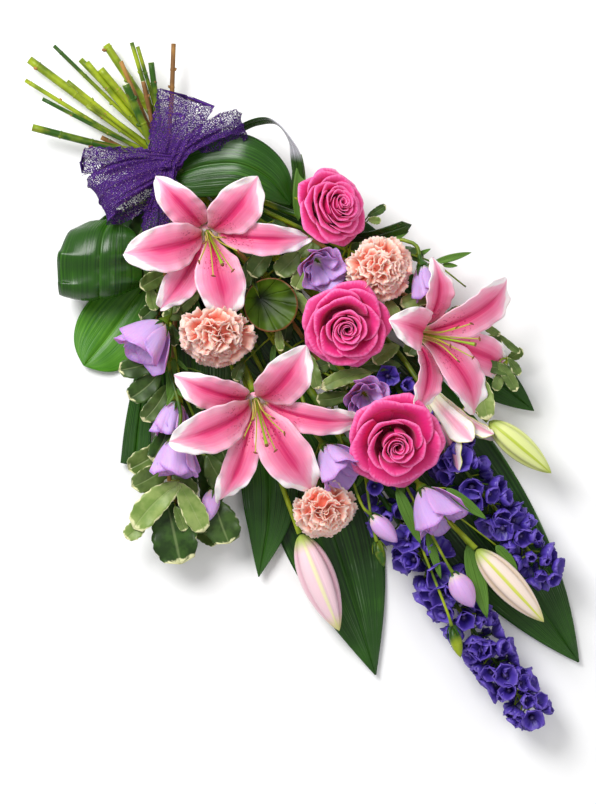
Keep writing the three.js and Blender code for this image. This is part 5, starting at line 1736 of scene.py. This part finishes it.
# routes start from the knot; dense closes the net at the knot and thin opens it at the end; flat is in metres
RIBBON_STRIPS = {
    "ribbon_tail_top": dict(
        route=[(-2, -6, 2), (8, 24, 14), (21, 62, 5)], width=58, rise=0.25, fall=0, least=0.5, wave=4,
        waves=1.3, pleats=5, dense=0.8, flat=(0.062, 0.072)),
    "ribbon_loop_right": dict(
        route=[(6, 2, 6), (38, 23, 18), (66, 35, 18), (77, 33, 12), (70, 26, 6), (30, 14, 2)], width=25,
        rise=0.3, fall=0.2, least=0.4, side=(-0.3, 1, 0), wave=2, pleats=2, dense=0.5, thin=0.3,
        flat=(0.026, 0.16)),
    "ribbon_tail_left": dict(
        route=[(6, -2, 6), (-40, 0, 9), (-84, -3, -2)], width=28, rise=0.2, fall=0, least=0.6, wave=3,
        pleats=4, dense=0.9, flat=(0.032, 0.095)),
    "ribbon_loop_left": dict(
        route=[(-2, -6, 6), (-36, -20, 22), (-62, -34, 17), (-64, -44, 6), (-38, -38, -1), (-6, -14, -1)],
        width=46, rise=0.3, fall=0.2, least=0.5, side=(0.6, -1, 0), wave=4, pleats=4, dense=0.6,
        flat=(0.05, 0.16)),
    "ribbon_tail_low": dict(
        route=[(2, -4, 4), (-2, -36, 14), (-10, -76, 4)], width=32, rise=0.3, fall=0, least=0.6, wave=3,
        pleats=4, dense=0.9, flat=(0.034, 0.08)),
}


def pleated(place, pleats):
    """The same strip with folds that are deep at the knot and open out, crumpled and frayed at its rims."""
    def gathered(s, t):
        points = place(s, t)
        uneven = t + 0.22 * np.sin(4.1 * t + pleats) + 0.1 * np.sin(3 * s + 6 * t)
        fold = PLEAT_DEPTH * np.sin(pleats * np.pi * uneven + 1.3 + 2 * s)
        fold = fold * (1 - 0.7 * s) * (0.6 + 0.4 * np.sin(2.6 * t + pleats))
        fray = np.abs(t) ** 30 * np.sin(57 * s + t) + s ** 40 * np.sin(41 * t)
        points[:, 0] += 1.4 * s * np.sin(11 * s + 5 * t + pleats) + 1.1 * fray
        points[:, 1] += 1.4 * s * np.cos(9 * s - 6 * t + pleats) + 0.9 * fray
        points[:, 2] += fold + 1.8 * s * np.sin(13 * s + 4 * t) * np.sin(7 * t + 5 * s)
        return points
    return gathered


def real_scale(made, across, along):
    """UV in millimetres, so that the net has one mesh size on every strip."""
    uv = made.data.uv_layers["blade"].uv
    flat = np.empty(len(uv) * 2, np.float32)
    uv.foreach_get("vector", flat)
    flat = flat.reshape(-1, 2) * (across, along)
    uv.foreach_set("vector", flat.astype(np.float32).ravel())


def area_share(made, flat):
    """A sheet's area on one side over the area that it was cut to."""
    return round(sum(p.area for p in made.data.polygons) / 2 / (flat[0] * flat[1]), 2)


print("ribbon strips:", len(RIBBON_STRIPS))

# %% Ribbon strips
for name, strip in RIBBON_STRIPS.items():
    spec = {key: value for key, value in strip.items() if key not in ("flat", "pleats", "dense", "thin")}
    spec["route"] = [tuple(KNOT + np.array(p)) for p in strip["route"]]
    place = pleated(leaf_blade(**spec, pleat=0, point=CUT), strip["pleats"])
    dense, thin = strip["dense"], strip.get("thin", 0.12)
    blade = bent((44, 66), place, None, lambda s: dense * (1 - s) ** 2 - thin)
    made = piece(name, ["ribbon"], [NET], [blade], thickness=0.25)
    real_scale(made, strip["flat"][0] / MM, strip["flat"][1] / MM)
    print("area share", area_share(made, strip["flat"]))

# %% [markdown]
# ## The band and the knot
# The band goes round the stems as a belt does, so its line is the hull of their round sections: at each
# angle the farthest stem carries it. That is a sum over the slots, and it follows any change in the rows.
# The knot is a soft pad of ribbon drawn over the middle.


# %% The bundle's hull
def hull(angle, offset):
    """The points of the bundle's hull, set off by offset, where its outward normal has each angle."""
    centres = np.array([(c @ ACROSS, c[2]) for c, _ in SLOT.values()])
    radii = np.array([r for _, r in SLOT.values()])
    step = 1e-3

    def support(at):
        return (np.stack([np.cos(at), np.sin(at)], -1) @ centres.T + radii + offset).max(-1)

    slope = (support(angle + step) - support(angle)) / step
    way = np.stack([np.cos(angle), np.sin(angle)], -1)
    return way * support(angle)[:, None] + np.stack([-way[:, 1], way[:, 0]], -1) * slope[:, None]


def about_bundle(angle, offset, proud, along, least):
    """Points round the bundle, proud of its hull, at places along the stems and never under least."""
    flat = hull(angle, offset) + np.stack([np.cos(angle), np.sin(angle)], -1) * proud[:, None]
    return ACROSS * flat[:, :1] + UP * np.maximum(flat[:, 1:], least) + ALONG * along[:, None]


print("width of the bundle:", round(2 * hull(np.zeros(1), 0)[0, 0], 1))

# %% Band
BAND_FLAT = (0.011, 0.168)
BAND_WIDTH = 11
BAND_ALONG = 6


def wrapped(s, t):
    """The band round the stems, with a few rucks across its width."""
    angle = t * np.pi
    ruck = 0.4 * np.sin(3 * np.pi * s) * (1 + 0.4 * np.sin(9 * angle))
    return about_bundle(angle, 1.5, ruck, BAND_ALONG + (s - 0.5) * BAND_WIDTH, 0.3)


band = piece("ribbon_band", ["ribbon"], [NET], [bent((96, 8), wrapped, None, 0.7)], thickness=0.4)
real_scale(band, BAND_FLAT[1] / MM, BAND_FLAT[0] / MM)
print("area share", area_share(band, BAND_FLAT))

# %% Knot
KNOT_LENGTH = 54
KNOT_GIRTH = 80
KNOT_MIDDLE = KNOT + np.array([-7, -9, -2])


def knot_fold(s, t):
    """The pad of ribbon over the middle, its pleats running across the stems."""
    angle = t * np.pi
    swell = np.sin(np.pi * np.clip(s, 0, 1)) ** 0.55
    ridges = 1 + 0.09 * np.sin(7 * angle + 5 * s) + 0.06 * np.sin(13 * angle - 9 * s) + 0.05 * np.sin(15 * s)
    radius = to_poles(s, (0.25 + 0.75 * swell) * ridges)
    deep = ALONG * (15 * radius * np.cos(angle))[:, None] + UP * (9 * radius * np.sin(angle))[:, None]
    return KNOT_MIDDLE + ACROSS * ((s - 0.5) * KNOT_LENGTH)[:, None] + deep


knot = piece("ribbon_knot", ["ribbon"], [NET], rods=[bent((64, 40), knot_fold, None, 0.75)])
real_scale(knot, KNOT_GIRTH, KNOT_LENGTH)

# %% [markdown]
# ## The tie
# The tie itself is raffia wound five times round the stems, beside the ribbon's band and under its knot.
# Each turn is a flat strand laid beside the one before it, a little uneven, as it is by hand. It follows the
# same hull as the band, so the two can't cross.

# %% Tie
RAFFIA = finish("raffia", stem_paint("8a744a", "c3ad78", "6a5836"), 0.8)
TIE_TURNS = 5
TIE_WIDTH = 7.0
TIE_ALONG = -6
strands = []
for i in range(TIE_TURNS):
    def strand(s, t):
        angle, round_it = s * 2 * np.pi, t * np.pi
        along = TIE_ALONG + TIE_WIDTH * ((i + 0.5) / TIE_TURNS - 0.5)
        drift = along + 0.75 * np.cos(round_it) + 0.3 * np.sin(3 * angle + i)
        return about_bundle(angle, 0.8, 0.5 * np.sin(round_it), drift, 0.2)
    strands.append(bent((8, 96), strand, None, i / TIE_TURNS))
piece("raffia_tie", ["tie"], [RAFFIA], rods=strands)

# %% [markdown]
# ## The table's finish and the closing lines
# The table is matt and nearly white.


# %% Table finish
def paint_table(tree):
    return dict(colour=coats("fbfbfb", (mottle(tree, 3), "ffffff")))


table.data.materials.append(finish("table", paint_table, 0.9))
